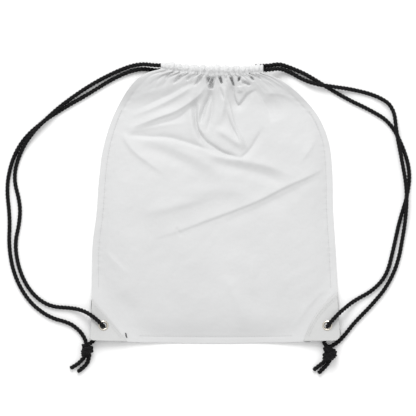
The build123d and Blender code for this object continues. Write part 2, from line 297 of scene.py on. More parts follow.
class Effects:
    """The effects that the finishes share, each built once."""

    _built: dict[str, bpy.types.NodeTree] = {}

    @classmethod
    def get(cls, name: str) -> bpy.types.NodeTree:
        """The named effect's node group, built the first time that it is asked for.

        Args:
            name: The effect's name.

        Returns:
            The effect's node group.
        """
        if name not in cls._built:
            cls._built[name] = getattr(cls, "_build_" + name)()
        return cls._built[name]

    @staticmethod
    def _build_plain_weave() -> bpy.types.NodeTree:
        """Threads that pass over and under each other, with slubs where one is thicker.

        Returns:
            The effect's node group.
        """
        group = GroupBuilder("plain_weave")
        cloth, threads, slub = group.takes(Cloth=None, Threads_per_Metre=2400.0, Slub=0.3)
        split = group.node("ShaderNodeSeparateXYZ")
        group.feed(split.inputs[0], cloth)
        turns = group.maths("MULTIPLY", threads, math.pi)
        warp = group.maths("SINE", group.maths("MULTIPLY", split.outputs[0], turns))
        weft = group.maths("SINE", group.maths("MULTIPLY", split.outputs[1], turns))
        crossing = group.maths("MULTIPLY", group.maths("MULTIPLY", warp, weft), 0.35)
        uneven = group.maths("MULTIPLY", group.noise(cloth, 900.0, 2.0), slub)
        group.gives("Height", group.maths("ADD", crossing, uneven))
        return group.tree

    @staticmethod
    def _build_cloudiness() -> bpy.types.NodeTree:
        """Slow changes over a surface: handling marks, dust and uneven dye.

        Returns:
            The effect's node group.
        """
        group = GroupBuilder("cloudiness")
        place, patches, contrast = group.takes(Place=None, Patches_per_Metre=14.0, Contrast=1.0)
        centred = group.maths("SUBTRACT", group.noise(place, patches, 5.0, 0.55), 0.5)
        made = group.node("ShaderNodeMath", operation="ADD", use_clamp=True)
        group.feed(made.inputs[0], group.maths("MULTIPLY", centred, contrast))
        group.feed(made.inputs[1], 0.5)
        group.gives("Mask", made.outputs[0])
        return group.tree

    @staticmethod
    def _build_yarn() -> bpy.types.NodeTree:
        """Fine filaments that run along a twisted strand, and stray fluff on them.

        Returns:
            The effect's node group.
        """
        group = GroupBuilder("yarn")
        strand, filaments, fluff = group.takes(Strand=None, Filaments=24.0, Fluff=0.5)
        split = group.node("ShaderNodeSeparateXYZ")
        group.feed(split.inputs[0], strand)
        round_turns = group.maths("MULTIPLY", filaments, 2 * math.pi)
        around = group.maths("MULTIPLY", split.outputs[0], round_turns)
        lay = group.maths("MULTIPLY", split.outputs[1], 1600.0)
        rows = group.maths("SINE", group.maths("ADD", around, lay))
        stray = group.maths("MULTIPLY", group.noise(strand, 1500.0, 3.0), fluff)
        group.gives("Height", group.maths("MULTIPLY_ADD", rows, 0.5))
        group.gives("Fluff", stray)
        return group.tree

    @staticmethod
    def _build_hide_grain() -> bpy.types.NodeTree:
        """The pebbled skin of imitation leather.

        Returns:
            The effect's node group.
        """
        group = GroupBuilder("hide_grain")
        place, per_metre = group.takes(Place=None, Pebbles_per_Metre=900.0)
        pebbles = group.node("ShaderNodeTexVoronoi", feature="SMOOTH_F1")
        group.feed(pebbles.inputs["Vector"], place)
        group.feed(pebbles.inputs["Scale"], per_metre)
        group.gives("Height", group.maths("SUBTRACT", 1.0, pebbles.outputs["Distance"]))
        return group.tree

    @staticmethod
    def _build_handling_wear() -> bpy.types.NodeTree:
        """Hairline scratches and dull spots on plated metal.

        Returns:
            The effect's node group.
        """
        group = GroupBuilder("handling_wear")
        place, scratches = group.takes(Place=None, Scratches_per_Metre=1200.0)
        stretched = group.node("ShaderNodeMapping")
        stretched.inputs["Scale"].default_value = (1.0, 0.12, 1.0)
        group.feed(stretched.inputs["Vector"], place)
        group.gives("Mask", group.noise(stretched.outputs[0], scratches, 4.0))
        return group.tree


# ---- Finishes -------------------------------------------------------------------------


@dataclass
class Recipe:
    """One material while its nodes are put together."""

    name: str

    def __post_init__(self) -> None:
        """Starts from an empty material with its shader."""
        self.material = bpy.data.materials.new(self.name)
        self.material.use_nodes = True
        self.nodes = self.material.node_tree.nodes
        self.links = self.material.node_tree.links
        self.shader = self.nodes["Principled BSDF"]
        self.place = self.nodes.new("ShaderNodeTexCoord")

    def effect(self, name: str, source: str, vector_input: str, **values: float) -> bpy.types.Node:
        """Places an effect group with its own values.

        Args:
            name: The effect's name.
            source: Texture coordinate output that feeds it, Object or UV.
            vector_input: The group's vector input.
            **values: The other inputs, with _ for the spaces in their names.

        Returns:
            The group's node.
        """
        made = self.nodes.new("ShaderNodeGroup")
        made.node_tree = Effects.get(name)
        self.links.new(self.place.outputs[source], made.inputs[vector_input])
        for key, value in values.items():
            made.inputs[key.replace("_", " ")].default_value = value
        return made

    def values(self, **values: float | tuple[float, ...]) -> None:
        """Sets the shader's own sockets, with _ for the spaces in their names."""
        for key, value in values.items():
            self.shader.inputs[key.replace("_", " ")].default_value = value

    def tint(self, mask: bpy.types.NodeSocket, low: Point, high: Point) -> None:
        """Colours the surface from low to high as mask goes from 0 to 1.

        Args:
            mask: The mask's socket.
            low: Colour where it is 0.
            high: Colour where it is 1.
        """
        ramp = self.nodes.new("ShaderNodeValToRGB")
        ramp.color_ramp.elements[0].color = (*low, 1.0)
        ramp.color_ramp.elements[1].color = (*high, 1.0)
        self.links.new(mask, ramp.inputs[0])
        self.links.new(ramp.outputs[0], self.shader.inputs["Base Color"])

    def gloss(self, mask: bpy.types.NodeSocket, low: float, high: float) -> None:
        """Sets roughness from low to high as mask goes from 0 to 1.

        Args:
            mask: The mask's socket.
            low: Roughness where it is 0.
            high: Roughness where it is 1.
        """
        spread = self.nodes.new("ShaderNodeMapRange")
        spread.inputs["To Min"].default_value = low
        spread.inputs["To Max"].default_value = high
        self.links.new(mask, spread.inputs["Value"])
        self.links.new(spread.outputs[0], self.shader.inputs["Roughness"])

    def relief(self, *heights: tuple[bpy.types.NodeSocket, float]) -> None:
        """Raises the surface by each height, given with its depth in millimetres.

        Args:
            *heights: Pairs of a height's socket and its depth.
        """
        previous = None
        for height, depth in heights:
            bump = self.nodes.new("ShaderNodeBump")
            bump.inputs["Distance"].default_value = depth * MM
            self.links.new(height, bump.inputs["Height"])
            if previous is not None:
                self.links.new(previous, bump.inputs["Normal"])
            previous = bump.outputs[0]
        self.links.new(previous, self.shader.inputs["Normal"])


@dataclass(frozen=True)
class NylonFinish:
    """Coated white pack cloth: a fine plain weave with a soft sheen."""

    name: str
    dark: Point
    light: Point
    threads_per_metre: float = 2200.0
    weave_depth: float = 0.045
    crumple_depth: float = 0.5

    def material(self) -> bpy.types.Material:
        """The finished material.

        Returns:
            The material.
        """
        recipe = Recipe(self.name)
        threads = self.threads_per_metre
        weave = recipe.effect("plain_weave", "UV", "Cloth", Threads_per_Metre=threads, Slub=0.35)
        clouds = recipe.effect("cloudiness", "Object", "Place", Patches_per_Metre=9.0, Contrast=1.2)
        crumple = recipe.effect("cloudiness", "Object", "Place", Patches_per_Metre=75.0, Contrast=1.6)
        recipe.tint(clouds.outputs["Mask"], self.dark, self.light)
        recipe.gloss(clouds.outputs["Mask"], low=0.5, high=0.62)
        recipe.relief(
            (crumple.outputs["Mask"], self.crumple_depth), (weave.outputs["Height"], self.weave_depth)
        )
        recipe.values(Sheen_Weight=0.12, Sheen_Roughness=0.4, Specular_IOR_Level=0.35)
        return recipe.material


@dataclass(frozen=True)
class CordFinish:
    """Black twisted polyester: dull, with fine filaments along each strand."""

    name: str = "black_polyester_cord"
    dark: Point = (0.0015, 0.0014, 0.0018)
    light: Point = (0.009, 0.0085, 0.0095)

    def material(self) -> bpy.types.Material:
        """The finished material.

        Returns:
            The material.
        """
        recipe = Recipe(self.name)
        yarn = recipe.effect("yarn", "UV", "Strand", Filaments=20.0, Fluff=0.9)
        recipe.tint(yarn.outputs["Fluff"], self.dark, self.light)
        recipe.gloss(yarn.outputs["Fluff"], low=0.85, high=0.62)
        recipe.relief((yarn.outputs["Height"], 0.18), (yarn.outputs["Fluff"], 0.2))
        recipe.values(Sheen_Weight=0.04, Sheen_Roughness=0.35, Specular_IOR_Level=0.2)
        return recipe.material


@dataclass(frozen=True)
class ThreadFinish:
    """Sewing thread: tight filaments with a slight shine."""

    name: str
    dark: Point
    light: Point

    def material(self) -> bpy.types.Material:
        """The finished material.

        Returns:
            The material.
        """
        recipe = Recipe(self.name)
        yarn = recipe.effect("yarn", "UV", "Strand", Filaments=5.0, Fluff=0.6)
        recipe.tint(yarn.outputs["Fluff"], self.dark, self.light)
        recipe.relief((yarn.outputs["Height"], 0.06))
        recipe.values(Roughness=0.5)
        return recipe.material


@dataclass(frozen=True)
class HideFinish:
    """Dark grey-green imitation leather behind the bottom corners."""

    name: str = "dark_imitation_leather"
    dark: Point = (0.012, 0.018, 0.017)
    light: Point = (0.04, 0.055, 0.05)

    def material(self) -> bpy.types.Material:
        """The finished material.

        Returns:
            The material.
        """
        recipe = Recipe(self.name)
        grain = recipe.effect("hide_grain", "Object", "Place", Pebbles_per_Metre=850.0)
        clouds = recipe.effect("cloudiness", "Object", "Place", Patches_per_Metre=60.0, Contrast=1.5)
        recipe.tint(clouds.outputs["Mask"], self.dark, self.light)
        recipe.gloss(grain.outputs["Height"], low=0.62, high=0.38)
        recipe.relief((grain.outputs["Height"], 0.22))
        return recipe.material


@dataclass(frozen=True)
class EyeletFinish:
    """Polished pale nickel with a warm cast, a little scratched."""

    name: str = "pale_nickel"
    dark: Point = (0.5, 0.44, 0.36)
    light: Point = (0.88, 0.84, 0.76)

    def material(self) -> bpy.types.Material:
        """The finished material.

        Returns:
            The material.
        """
        recipe = Recipe(self.name)
        wear = recipe.effect("handling_wear", "Object", "Place", Scratches_per_Metre=1400.0)
        recipe.tint(wear.outputs["Mask"], self.dark, self.light)
        recipe.gloss(wear.outputs["Mask"], low=0.12, high=0.34)
        recipe.relief((wear.outputs["Mask"], 0.03))
        recipe.values(Metallic=1.0)
        return recipe.material


@dataclass(frozen=True)
class FloorFinish:
    """A matt white tabletop."""

    name: str = "white_tabletop"

    def material(self) -> bpy.types.Material:
        """The finished material.

        Returns:
            The material.
        """
        recipe = Recipe(self.name)
        recipe.values(Base_Color=(0.97, 0.97, 0.97, 1.0), Roughness=0.95, Specular_IOR_Level=0.0)
        return recipe.material


@dataclass
class Wardrobe:
    """Every finish of the bag, made once."""

    def __post_init__(self) -> None:
        """Makes the materials."""
        panel = NylonFinish("white_pack_cloth", (0.572, 0.575, 0.577), (0.648, 0.651, 0.653))
        corner = NylonFinish("corner_pack_cloth", (0.52, 0.523, 0.52), (0.60, 0.603, 0.60))
        thread = ThreadFinish("white_thread", (0.5, 0.5, 0.5), (0.78, 0.78, 0.78))
        dark_thread = ThreadFinish("dark_thread", (0.02, 0.02, 0.02), (0.08, 0.08, 0.08))
        self.panel = panel.material()
        self.corner = corner.material()
        self.cord = CordFinish().material()
        self.thread = thread.material()
        self.dark_thread = dark_thread.material()
        self.hide = HideFinish().material()
        self.eyelet = EyeletFinish().material()


# ---- Mesh making ----------------------------------------------------------------------


def mesh_piece(
    name: str,
    points: np.ndarray,
    faces: np.ndarray | list,
    material: bpy.types.Material,
    cloth: np.ndarray | None = None,
) -> bpy.types.Object:
    """A smooth-shaded mesh object.

    Args:
        name: The piece's name.
        points: Its points in millimetres, one row each.
        faces: Point numbers of each face.
        material: Its finish.
        cloth: Flat texture place of each point, or None.

    Returns:
        The new object, linked to the scene.
    """
    mesh = bpy.data.meshes.new(name)
    corners = [[int(number) for number in face] for face in faces]
    mesh.from_pydata((np.asarray(points, float) * MM).tolist(), [], corners)
    mesh.materials.append(material)
    mesh.polygons.foreach_set("use_smooth", np.ones(len(mesh.polygons), bool))
    if cloth is not None:
        layer = mesh.uv_layers.new(name="cloth")
        used = np.zeros(len(mesh.loops), int)
        mesh.loops.foreach_get("vertex_index", used)
        layer.data.foreach_set("uv", np.asarray(cloth, float)[used].ravel())
    mesh.validate()
    mesh.update()
    made = bpy.data.objects.new(name, mesh)
    bpy.context.scene.collection.objects.link(made)
    return made


def grid_faces(rows: int, columns: int, closed: bool = False) -> np.ndarray:
    """The faces of a grid of points stored row by row.

    Args:
        rows: Rows of points.
        columns: Points in each row.
        closed: Whether each row runs round into its start.

    Returns:
        Four point numbers for each face.
    """
    last = columns if closed else columns - 1
    row, column = np.meshgrid(np.arange(rows - 1), np.arange(last), indexing="ij")
    beside = (column + 1) % columns
    below = row * columns
    above = (row + 1) * columns
    corners = [below + column, below + beside, above + beside, above + column]
    return np.stack(corners, -1).reshape(-1, 4)


def tie(piece: bpy.types.Object, slot: str, *nodes: str) -> None:
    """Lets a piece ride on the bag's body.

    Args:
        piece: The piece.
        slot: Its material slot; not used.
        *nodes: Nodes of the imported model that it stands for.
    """
    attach(piece, "bag")
    if nodes:
        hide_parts(*nodes)


# ---- The lying bag's shape ------------------------------------------------------------


@dataclass(frozen=True)
class Fold:
    """A fold in the front panel: a ridge, or a valley where its rise is negative.

    Attributes:
        line: Points that it runs through, in millimetres.
        rise: Height of its middle.
        left: Width of its slope on the left of the line's direction.
        right: Width of its slope on the other side.
        crisp: 0 for a round fold, 1 for a pressed one.
        start: Share of the length over which it rises from nothing.
        end: Share of the length over which it dies away.
        walls: How upright the slopes stand; 2 is a soft bell.
        taper: Share of its width that it loses by the end.
    """

    line: tuple[FlatPoint, ...]
    rise: float
    left: float
    right: float
    crisp: float = 0.0
    start: float = 0.3
    end: float = 0.4
    walls: float = 2.0
    taper: float = 0.0

    def height(self, where: np.ndarray) -> np.ndarray:
        """How much the fold raises the cloth at each point.

        Args:
            where: Points of the panel, one row each, in millimetres.

        Returns:
            Heights in millimetres.
        """
        line = smooth_line(self.line)
        widths_out = 3.2
        reach = widths_out * max(self.left, self.right)
        near = (where > line.min(0) - reach).all(1) & (where < line.max(0) + reach).all(1)
        raised = np.zeros(len(where))
        beside, along = beside_line(where[near], line)
        width = np.where(beside > 0, self.left, self.right) * (1 - self.taper * along)
        distance = np.abs(beside) / width
        soft = np.exp(-(distance**self.walls))
        sharp = np.exp(-1.6 * (np.sqrt(distance**2 + 0.01) - 0.1))
        profile = soft + (sharp - soft) * self.crisp
        grown = np.clip(along / self.start, 0, 1)
        fading = np.clip((1 - along) / self.end, 0, 1)
        ends = np.sin(grown * math.pi / 2) * np.sin(fading * math.pi / 2)
        raised[near] = self.rise * profile * ends
        return raised


PANEL_FOLDS = (
    # From the gathers out to the left shoulder.
    Fold(((-52, 172), (-70, 161), (-96, 150), (-124, 137)), 2.4, 6, 10, 0.2, 0.2, 0.5),
    Fold(((-46, 176), (-58, 168), (-76, 159), (-98, 152)), -2.2, 4, 6, 0.2, 0.2, 0.5),
    Fold(((-15, 170), (-41, 160), (-56, 151), (-84, 138), (-118, 122)), -2.4, 5, 5, 0.3, 0.15, 0.5),
    Fold(((-30, 160), (-58, 143), (-90, 128), (-122, 117)), 2.6, 4, 9, 0.3, 0.2, 0.4),
    Fold(((-12, 162), (-24, 146), (-52, 127), (-78, 117), (-124, 100)), 3.4, 3.4, 9, 0.5, 0.2, 0.35),
    Fold(((-18, 144), (-48, 118), (-76, 108), (-118, 97)), -1.8, 8, 3, 0.3, 0.3, 0.3),
    Fold(((-120, 98), (-96, 102), (-60, 108), (-40, 110)), 1.7, 7, 4, 0.3, 0.1, 0.6),
    # Fanning down from the left shoulder.
    Fold(((-128, 96), (-114, 74), (-92, 56), (-66, 38)), 2.4, 9, 3.5, 0.5, 0.15, 0.6),
    Fold(((-124, 93), (-92, 91), (-60, 89), (-14, 75), (36, 60)), -2.6, 5, 3.5, 0.6, 0.2, 0.4),
    Fold(((-120, 90), (-86, 84), (-48, 70), (-6, 50), (16, 30)), 1.9, 8, 10, 0.1, 0.3, 0.4),
    Fold(((-98, 80), (-52, 62), (-8, 38)), -2.2, 11, 9, 0.0, 0.4, 0.5),
    # The bowl that hangs from the middle of the gathers.
    Fold(
        ((-26, 150), (-27, 122), (-23, 100), (-14, 86), (0, 76), (14, 68), (36, 62)),
        *(-3.8, 2.8, 5, 0.7, 0.2, 0.2),
    ),
    Fold(((-34, 144), (-33, 118), (-28, 95), (-18, 79), (-2, 69)), 1.8, 3, 6, 0.3, 0.3, 0.4),
    Fold(((33, 60), (46, 72), (56, 87), (67, 105)), -2.3, 3.2, 6, 0.6, 0.15, 0.5),
    Fold(((12, 166), (13, 148), (10, 128), (6, 106)), 4.4, 4.5, 8, 0.3, 0.3, 0.5),
    Fold(((15, 150), (19, 134), (27, 103), (43, 74)), 3.2, 2.2, 7, 0.5, 0.3, 0.25),
    Fold(((14, 128), (20, 108), (34, 82)), -2.8, 2.6, 3, 0.3, 0.4, 0.4),
    Fold(((-7, 157), (-8, 145), (-14, 131), (-21, 108)), -4.6, 2.6, 3.6, 0.4, 0.2, 0.4),
    Fold(((-4, 153), (-5, 125), (-12, 96)), -2.6, 2.6, 3.0, 0.4, 0.3, 0.4),
    Fold(((0, 101), (16, 92), (40, 75)), 2.8, 10, 4.5, 0.1, 0.3, 0.3),
    Fold(
        ((24, 164), (25, 146), (31, 134), (38, 140), (44, 148), (57, 155)),
        *(-4.2, 2.2, 6, 0.6, 0.15, 0.3),
    ),
    Fold(((33, 160), (34, 150)), 2.4, 4, 4, 0.2, 0.3, 0.4),
    Fold(((-21, 136), (-23, 118), (-22, 103), (-14, 92)), 2.0, 2, 2, 0.5, 0.3, 0.3),
    Fold(((6, 158), (9, 148), (12, 140)), -2.0, 2, 2, 0.3, 0.3, 0.5),
    # The right shoulder.
    Fold(((56, 160), (62, 146), (70, 131), (79, 110)), -2.8, 9, 4, 0.4, 0.3, 0.4),
    Fold(((72, 146), (82, 132), (92, 116)), -2.6, 9, 11, 0.0, 0.4, 0.5),
    Fold(((60, 150), (94, 147), (124, 126), (146, 110)), 2.2, 8, 3, 0.4, 0.3, 0.3),
    Fold(((120, 138), (132, 124), (142, 108)), -1.8, 3, 3, 0.5, 0.3, 0.3),
    Fold(((147, 101), (132, 78), (112, 50)), 1.8, 3.5, 8, 0.4, 0.2, 0.6),
    # Across the middle.
    Fold(((-10, 56), (30, 48), (68, 38), (96, 26)), -3.0, 8, 9, 0.1, 0.35, 0.35),
    Fold(((-20, 66), (26, 60), (74, 50), (110, 34)), 1.6, 7, 5, 0.3, 0.4, 0.4),
    Fold(((-56, 12), (0, 18), (54, 14)), 1.6, 10, 9, 0.0, 0.4, 0.4),
    Fold(((-102, -16), (-50, -2), (0, 10)), 1.6, 10, 6, 0.1, 0.4, 0.4),
    Fold(
        ((160, 53), (128, 37), (94, 22), (54, 2), (-14, -24), (-52, -38), (-90, -50)),
        *(2.2, 2.0, 12, 0.6, 0.08, 0.5),
    ),
    Fold(((150, 38), (120, 24), (90, 9), (50, -10), (-10, -35)), -1.2, 9, 4, 0.2, 0.2, 0.5),
    Fold(((-54, -33), (-46, -44)), -0.9, 2, 2, 0.3, 0.3, 0.3),
    # The lower half, where the bag lies flattest.
    Fold(((-153, -62), (-136, -80), (-118, -98)), 1.6, 3, 9, 0.3, 0.3, 0.6),
    Fold(((-138, -128), (-122, -144), (-104, -162)), -2.6, 14, 12, 0.0, 0.4, 0.5),
    Fold(((51, -70), (50, -98), (48, -126)), 1.2, 9, 4, 0.2, 0.4, 0.4),
    Fold(((13, -98), (32, -136), (42, -178)), 1.4, 10, 7, 0.1, 0.4, 0.3),
    Fold(((90, -134), (88, -156), (84, -176)), -0.9, 12, 12, 0.0, 0.5, 0.5),
    Fold(((164, -112), (142, -124), (122, -148), (103, -178)), 1.6, 3, 6, 0.5, 0.1, 0.2),
)


# Deep tucks right under the hem.
HEM_TUCKS = (
    Fold(((-62, 178), (-68, 168)), -2.4, 1.8, 2.2, 0.2, 0.3, 0.5, 2.0, 0.4),
    Fold(((-47, 176), (-50, 170), (-57, 162)), -5.0, 2.4, 3.0, 0.1, 0.2, 0.6, 2.0, 0.5),
    Fold(((-34, 174), (-39, 166)), -2.6, 2.0, 2.0, 0.2, 0.3, 0.5, 2.0, 0.4),
    Fold(((-20, 174), (-22, 168), (-29, 159)), -5.0, 2.4, 2.8, 0.1, 0.2, 0.6, 2.0, 0.5),
    Fold(((-6.0, 173), (-6.5, 164), (-6, 155)), -12.0, 6.4, 6.0, 0.0, 0.25, 0.25, 4.0, 0.55),
    Fold(((-5, 172), (-9, 163), (-7, 157)), 8.0, 1.3, 1.3, 0.2, 0.2, 0.4),
    Fold(((-1, 171), (-4, 162)), 6.0, 1.0, 1.0, 0.2, 0.2, 0.4),
    Fold(((5, 174), (7, 169), (9, 162.5)), -9.5, 2.0, 2.4, 0.0, 0.3, 0.2, 3.0, 0.5),
    Fold(((14, 175), (15, 167)), -2.6, 1.6, 1.8, 0.2, 0.3, 0.5, 2.0, 0.4),
    Fold(((20.5, 173), (22.5, 168), (25.5, 159.5)), -10.0, 1.8, 2.2, 0.0, 0.3, 0.2, 3.0, 0.5),
    Fold(((35, 176), (33, 171), (31, 165)), -8.0, 1.8, 2.4, 0.0, 0.3, 0.25, 3.0, 0.5),
    Fold(((36, 166), (42, 164.5), (48, 161)), -5.0, 1.3, 3.6, 0.1, 0.3, 0.3, 2.0, 0.4),
    Fold(((46, 178), (48, 173), (53, 166)), -6.5, 2.0, 2.6, 0.1, 0.2, 0.4, 2.0, 0.5),
    Fold(((55, 176), (62, 168)), -2.4, 1.8, 1.8, 0.2, 0.3, 0.5, 2.0, 0.4),
)


@dataclass(frozen=True)
class Pinch:
    """Where the hem is pinched between two ruffles.

    Attributes:
        across: Its place, as a share of the mouth's width.
        depth: 0 for no pinch and 1 for one that takes the whole ruffle away.
        width: Half its width in millimetres.
        tilt: How far it leans sideways for each radian round the hem, in millimetres.
    """

    across: float
    depth: float
    width: float
    tilt: float


HEM_PINCHES = tuple(
    Pinch(*values)
    for values in (
        (0.000, 0.7, 1.6, 0.0), (0.052, 0.45, 1.3, 0.9), (0.088, 0.3, 0.9, -0.8),
        (0.131, 0.95, 1.9, 0.8), (0.163, 0.35, 1.0, -0.6), (0.190, 1.0, 2.4, 1.1),
        (0.246, 0.4, 1.1, -1.0), (0.271, 0.8, 1.7, 0.5), (0.305, 0.35, 1.0, 0.9),
        (0.341, 0.55, 1.2, -0.9), (0.367, 1.0, 2.2, 0.6), (0.404, 0.5, 1.0, -0.8),
        (0.427, 0.85, 1.5, 0.9), (0.475, 1.0, 2.4, -1.0), (0.503, 0.35, 0.9, 0.9),
        (0.522, 0.6, 1.2, -0.5), (0.573, 0.95, 1.9, 1.0), (0.609, 0.6, 1.1, -0.8),
        (0.662, 1.0, 2.1, 0.7), (0.693, 0.45, 1.1, 0.9), (0.719, 0.8, 1.4, -0.9),
        (0.764, 1.0, 2.2, 0.8), (0.792, 0.4, 1.0, -0.8), (0.823, 0.8, 1.5, 0.7),
        (0.867, 1.0, 2.1, -0.9), (0.895, 0.4, 1.0, 0.7), (0.912, 0.6, 1.2, -0.9),
        (0.960, 0.6, 1.3, 0.8), (1.000, 0.7, 1.6, 0.0),
    )
)


@dataclass(frozen=True)
class BagShape:
    """Outline and heights of the lying bag, in millimetres."""

    half_width: float = 170.0
    corner_y: float = -186.0
    bottom_bow: float = 4.7
    left_mouth: FlatPoint = (-74.0, 182.6)
    right_mouth: FlatPoint = (65.0, 178.6)
    fold_leg: float = 100.0
    lift_slope: float = math.tan(math.radians(9.0))
    seam_margin: float = 9.5
    puff: float = 6.6
    mouth_height: float = 19.4
    eyelet_from_side: float = 17.0
    eyelet_from_bottom: float = 19.0

    @property
    def mouth_width(self) -> float:
        """Width of the gathered mouth."""
        return self.right_mouth[0] - self.left_mouth[0]

    def left_edge(self) -> tuple[FlatPoint, ...]:
        """The left side from the bottom corner up to the mouth.

        Returns:
            The side's points in millimetres.
        """
        low = ((-168.3, -120.0), (-167.6, -60.0), (-162.0, -14.0), (-158.6, 32.0))
        high = ((-153.0, 74.0), (-139.8, 117.0), (-120.0, 153.0), (-98.6, 174.4))
        return ((-self.half_width, self.corner_y), *low, *high, self.left_mouth)

    def right_edge(self) -> tuple[FlatPoint, ...]:
        """The right side from the bottom corner up to the mouth.

        Returns:
            The side's points in millimetres.
        """
        low = ((166.6, -122.0), (164.4, -70.0), (160.6, -12.0), (159.4, 40.0))
        high = ((154.6, 84.0), (138.6, 121.0), (112.0, 151.4), (84.0, 171.6))
        return ((self.half_width, self.corner_y), *low, *high, self.right_mouth)

    def edge_at(self, edge: tuple[FlatPoint, ...], share: np.ndarray) -> np.ndarray:
        """Points of a side at shares of its height.

        Args:
            edge: The side's points.
            share: Shares of its height.

        Returns:
            X and Y in the last axis.
        """
        line = smooth_line(edge, 12)
        y = edge[0][1] + share * (edge[-1][1] - edge[0][1])
        return np.stack([np.interp(y, line[:, 1], line[:, 0]), y], -1)

    def mouth_line(self, across: np.ndarray) -> np.ndarray:
        """How far the mouth line drops between its two ends.

        Args:
            across: Shares of the mouth's width.

        Returns:
            Moves in Y, in millimetres.
        """
        sag = 3.6
        step = 1.6
        return -sag * (1 - (2 * across - 1) ** 2) - step * eased(across, 0.0, 0.08)

    def corner_radius(self, side: Side) -> float:
        """How round a bottom corner is."""
        return 4.0 if side is Side.LEFT else 8.0

    def place(self, across: np.ndarray, up: np.ndarray) -> np.ndarray:
        """Where a point of the cloth lies in the plane.

        Args:
            across: Share of the width, 0 at the left edge.
            up: Share of the height, 0 at the bottom edge and 1 at the mouth.

        Returns:
            X and Y in the last axis.
        """
        left = self.edge_at(self.left_edge(), up)
        right = self.edge_at(self.right_edge(), up)
        spot = left * (1 - across[..., None]) + right * across[..., None]
        bow = -self.bottom_bow * (1 - (2 * across - 1) ** 2) * (1 - up) ** 6
        sag = self.mouth_line(across) * eased(up, 0.82, 1.0)
        spot[..., 1] += bow + sag
        return self.rounded(spot)

    def rounded(self, spot: np.ndarray) -> np.ndarray:
        """Draws points in towards the two rounded bottom corners.

        Args:
            spot: Points in the plane.

        Returns:
            The points, moved where they lay outside.
        """
        moved = spot.copy()
        for side in Side:
            radius = self.corner_radius(side)
            middle = np.array([side.value * (self.half_width - radius), self.corner_y + radius])
            out = (moved - middle) * np.array([side.value, -1.0])
            beyond = (out > 1e-6).all(-1)
            longest = out.max(-1)
            length = np.hypot(out[..., 0], out[..., 1])
            pull = np.where(beyond, longest / np.maximum(length, 1e-6), 1.0)
            drawn_in = middle + out * np.array([side.value, -1.0]) * pull[..., None]
            moved = np.where(beyond[..., None], drawn_in, moved)
        return moved

    def past_fold(self, x: np.ndarray, y: np.ndarray) -> np.ndarray:
        """Distance past the nearer bottom corner's fold line, positive towards the corner's tip."""
        from_tip = (self.half_width - np.abs(x)) + (y - self.corner_y)
        return (self.fold_leg - from_tip) / math.sqrt(2)

    def lift(self, x: np.ndarray, y: np.ndarray) -> np.ndarray:
        """How high the bottom corners stand off the surface.

        Args:
            x: Positions across, in millimetres.
            y: Positions up.

        Returns:
            Heights in millimetres.
        """
        softness = 6.0
        past = self.past_fold(x, y)
        return softness * np.logaddexp(0.0, past / softness) * self.lift_slope

    def inside(self, where: np.ndarray) -> np.ndarray:
        """Distance in from the sides and the bottom edge.

        Args:
            where: Points in the plane, one row each.

        Returns:
            Distances in millimetres.
        """
        left = smooth_line(self.left_edge(), 6)
        right = smooth_line(self.right_edge(), 6)
        from_left = np.abs(beside_line(where, left)[0])
        from_right = np.abs(beside_line(where, right)[0])
        share = where[:, 0] / self.half_width
        from_bottom = where[:, 1] - self.corner_y + self.bottom_bow * (1 - share**2)
        return np.minimum(np.minimum(from_left, from_right), np.maximum(from_bottom, 0.0))

    def ruffle(self, across: np.ndarray, round_hem: float = 0.0) -> np.ndarray:
        """The hem's ruffles: 0 in a deep pinch between two and about 1 on a crest.

        Args:
            across: Shares of the mouth's width.
            round_hem: How far round the hem, in radians from its foot; the pinches tilt with it.

        Returns:
            The ruffles' height.
        """
        wide = self.mouth_width
        drawn_in = np.zeros_like(across)
        for pinch in HEM_PINCHES:
            beside = np.abs((across - pinch.across) * wide - pinch.tilt * round_hem)
            drawn_in = np.maximum(drawn_in, pinch.depth * np.exp(-((beside / pinch.width) ** 1.3)))
        swell = 0.82 + 0.18 * soft_noise(across * wide, np.zeros_like(across), 7.0, 31)
        return swell * (1 - drawn_in)

    def back_height(self, x: np.ndarray, y: np.ndarray, across: np.ndarray) -> np.ndarray:
        """Height of the panel that the bag lies on.

        Args:
            x: Positions across, in millimetres.
            y: Positions up.
            across: The same points as shares of the cloth's width.

        Returns:
            Heights in millimetres.
        """
        to_mouth = eased(y, 130.0, 178.0)
        gathers = self.ruffle(across) * 2.6 * to_mouth**2
        crumple = 0.35 * (1 + soft_noise(x, y, 16.0, 5)) * eased(self.past_fold(x, y), 5.0, -15.0)
        return 0.3 + self.lift(x, y) + gathers + crumple

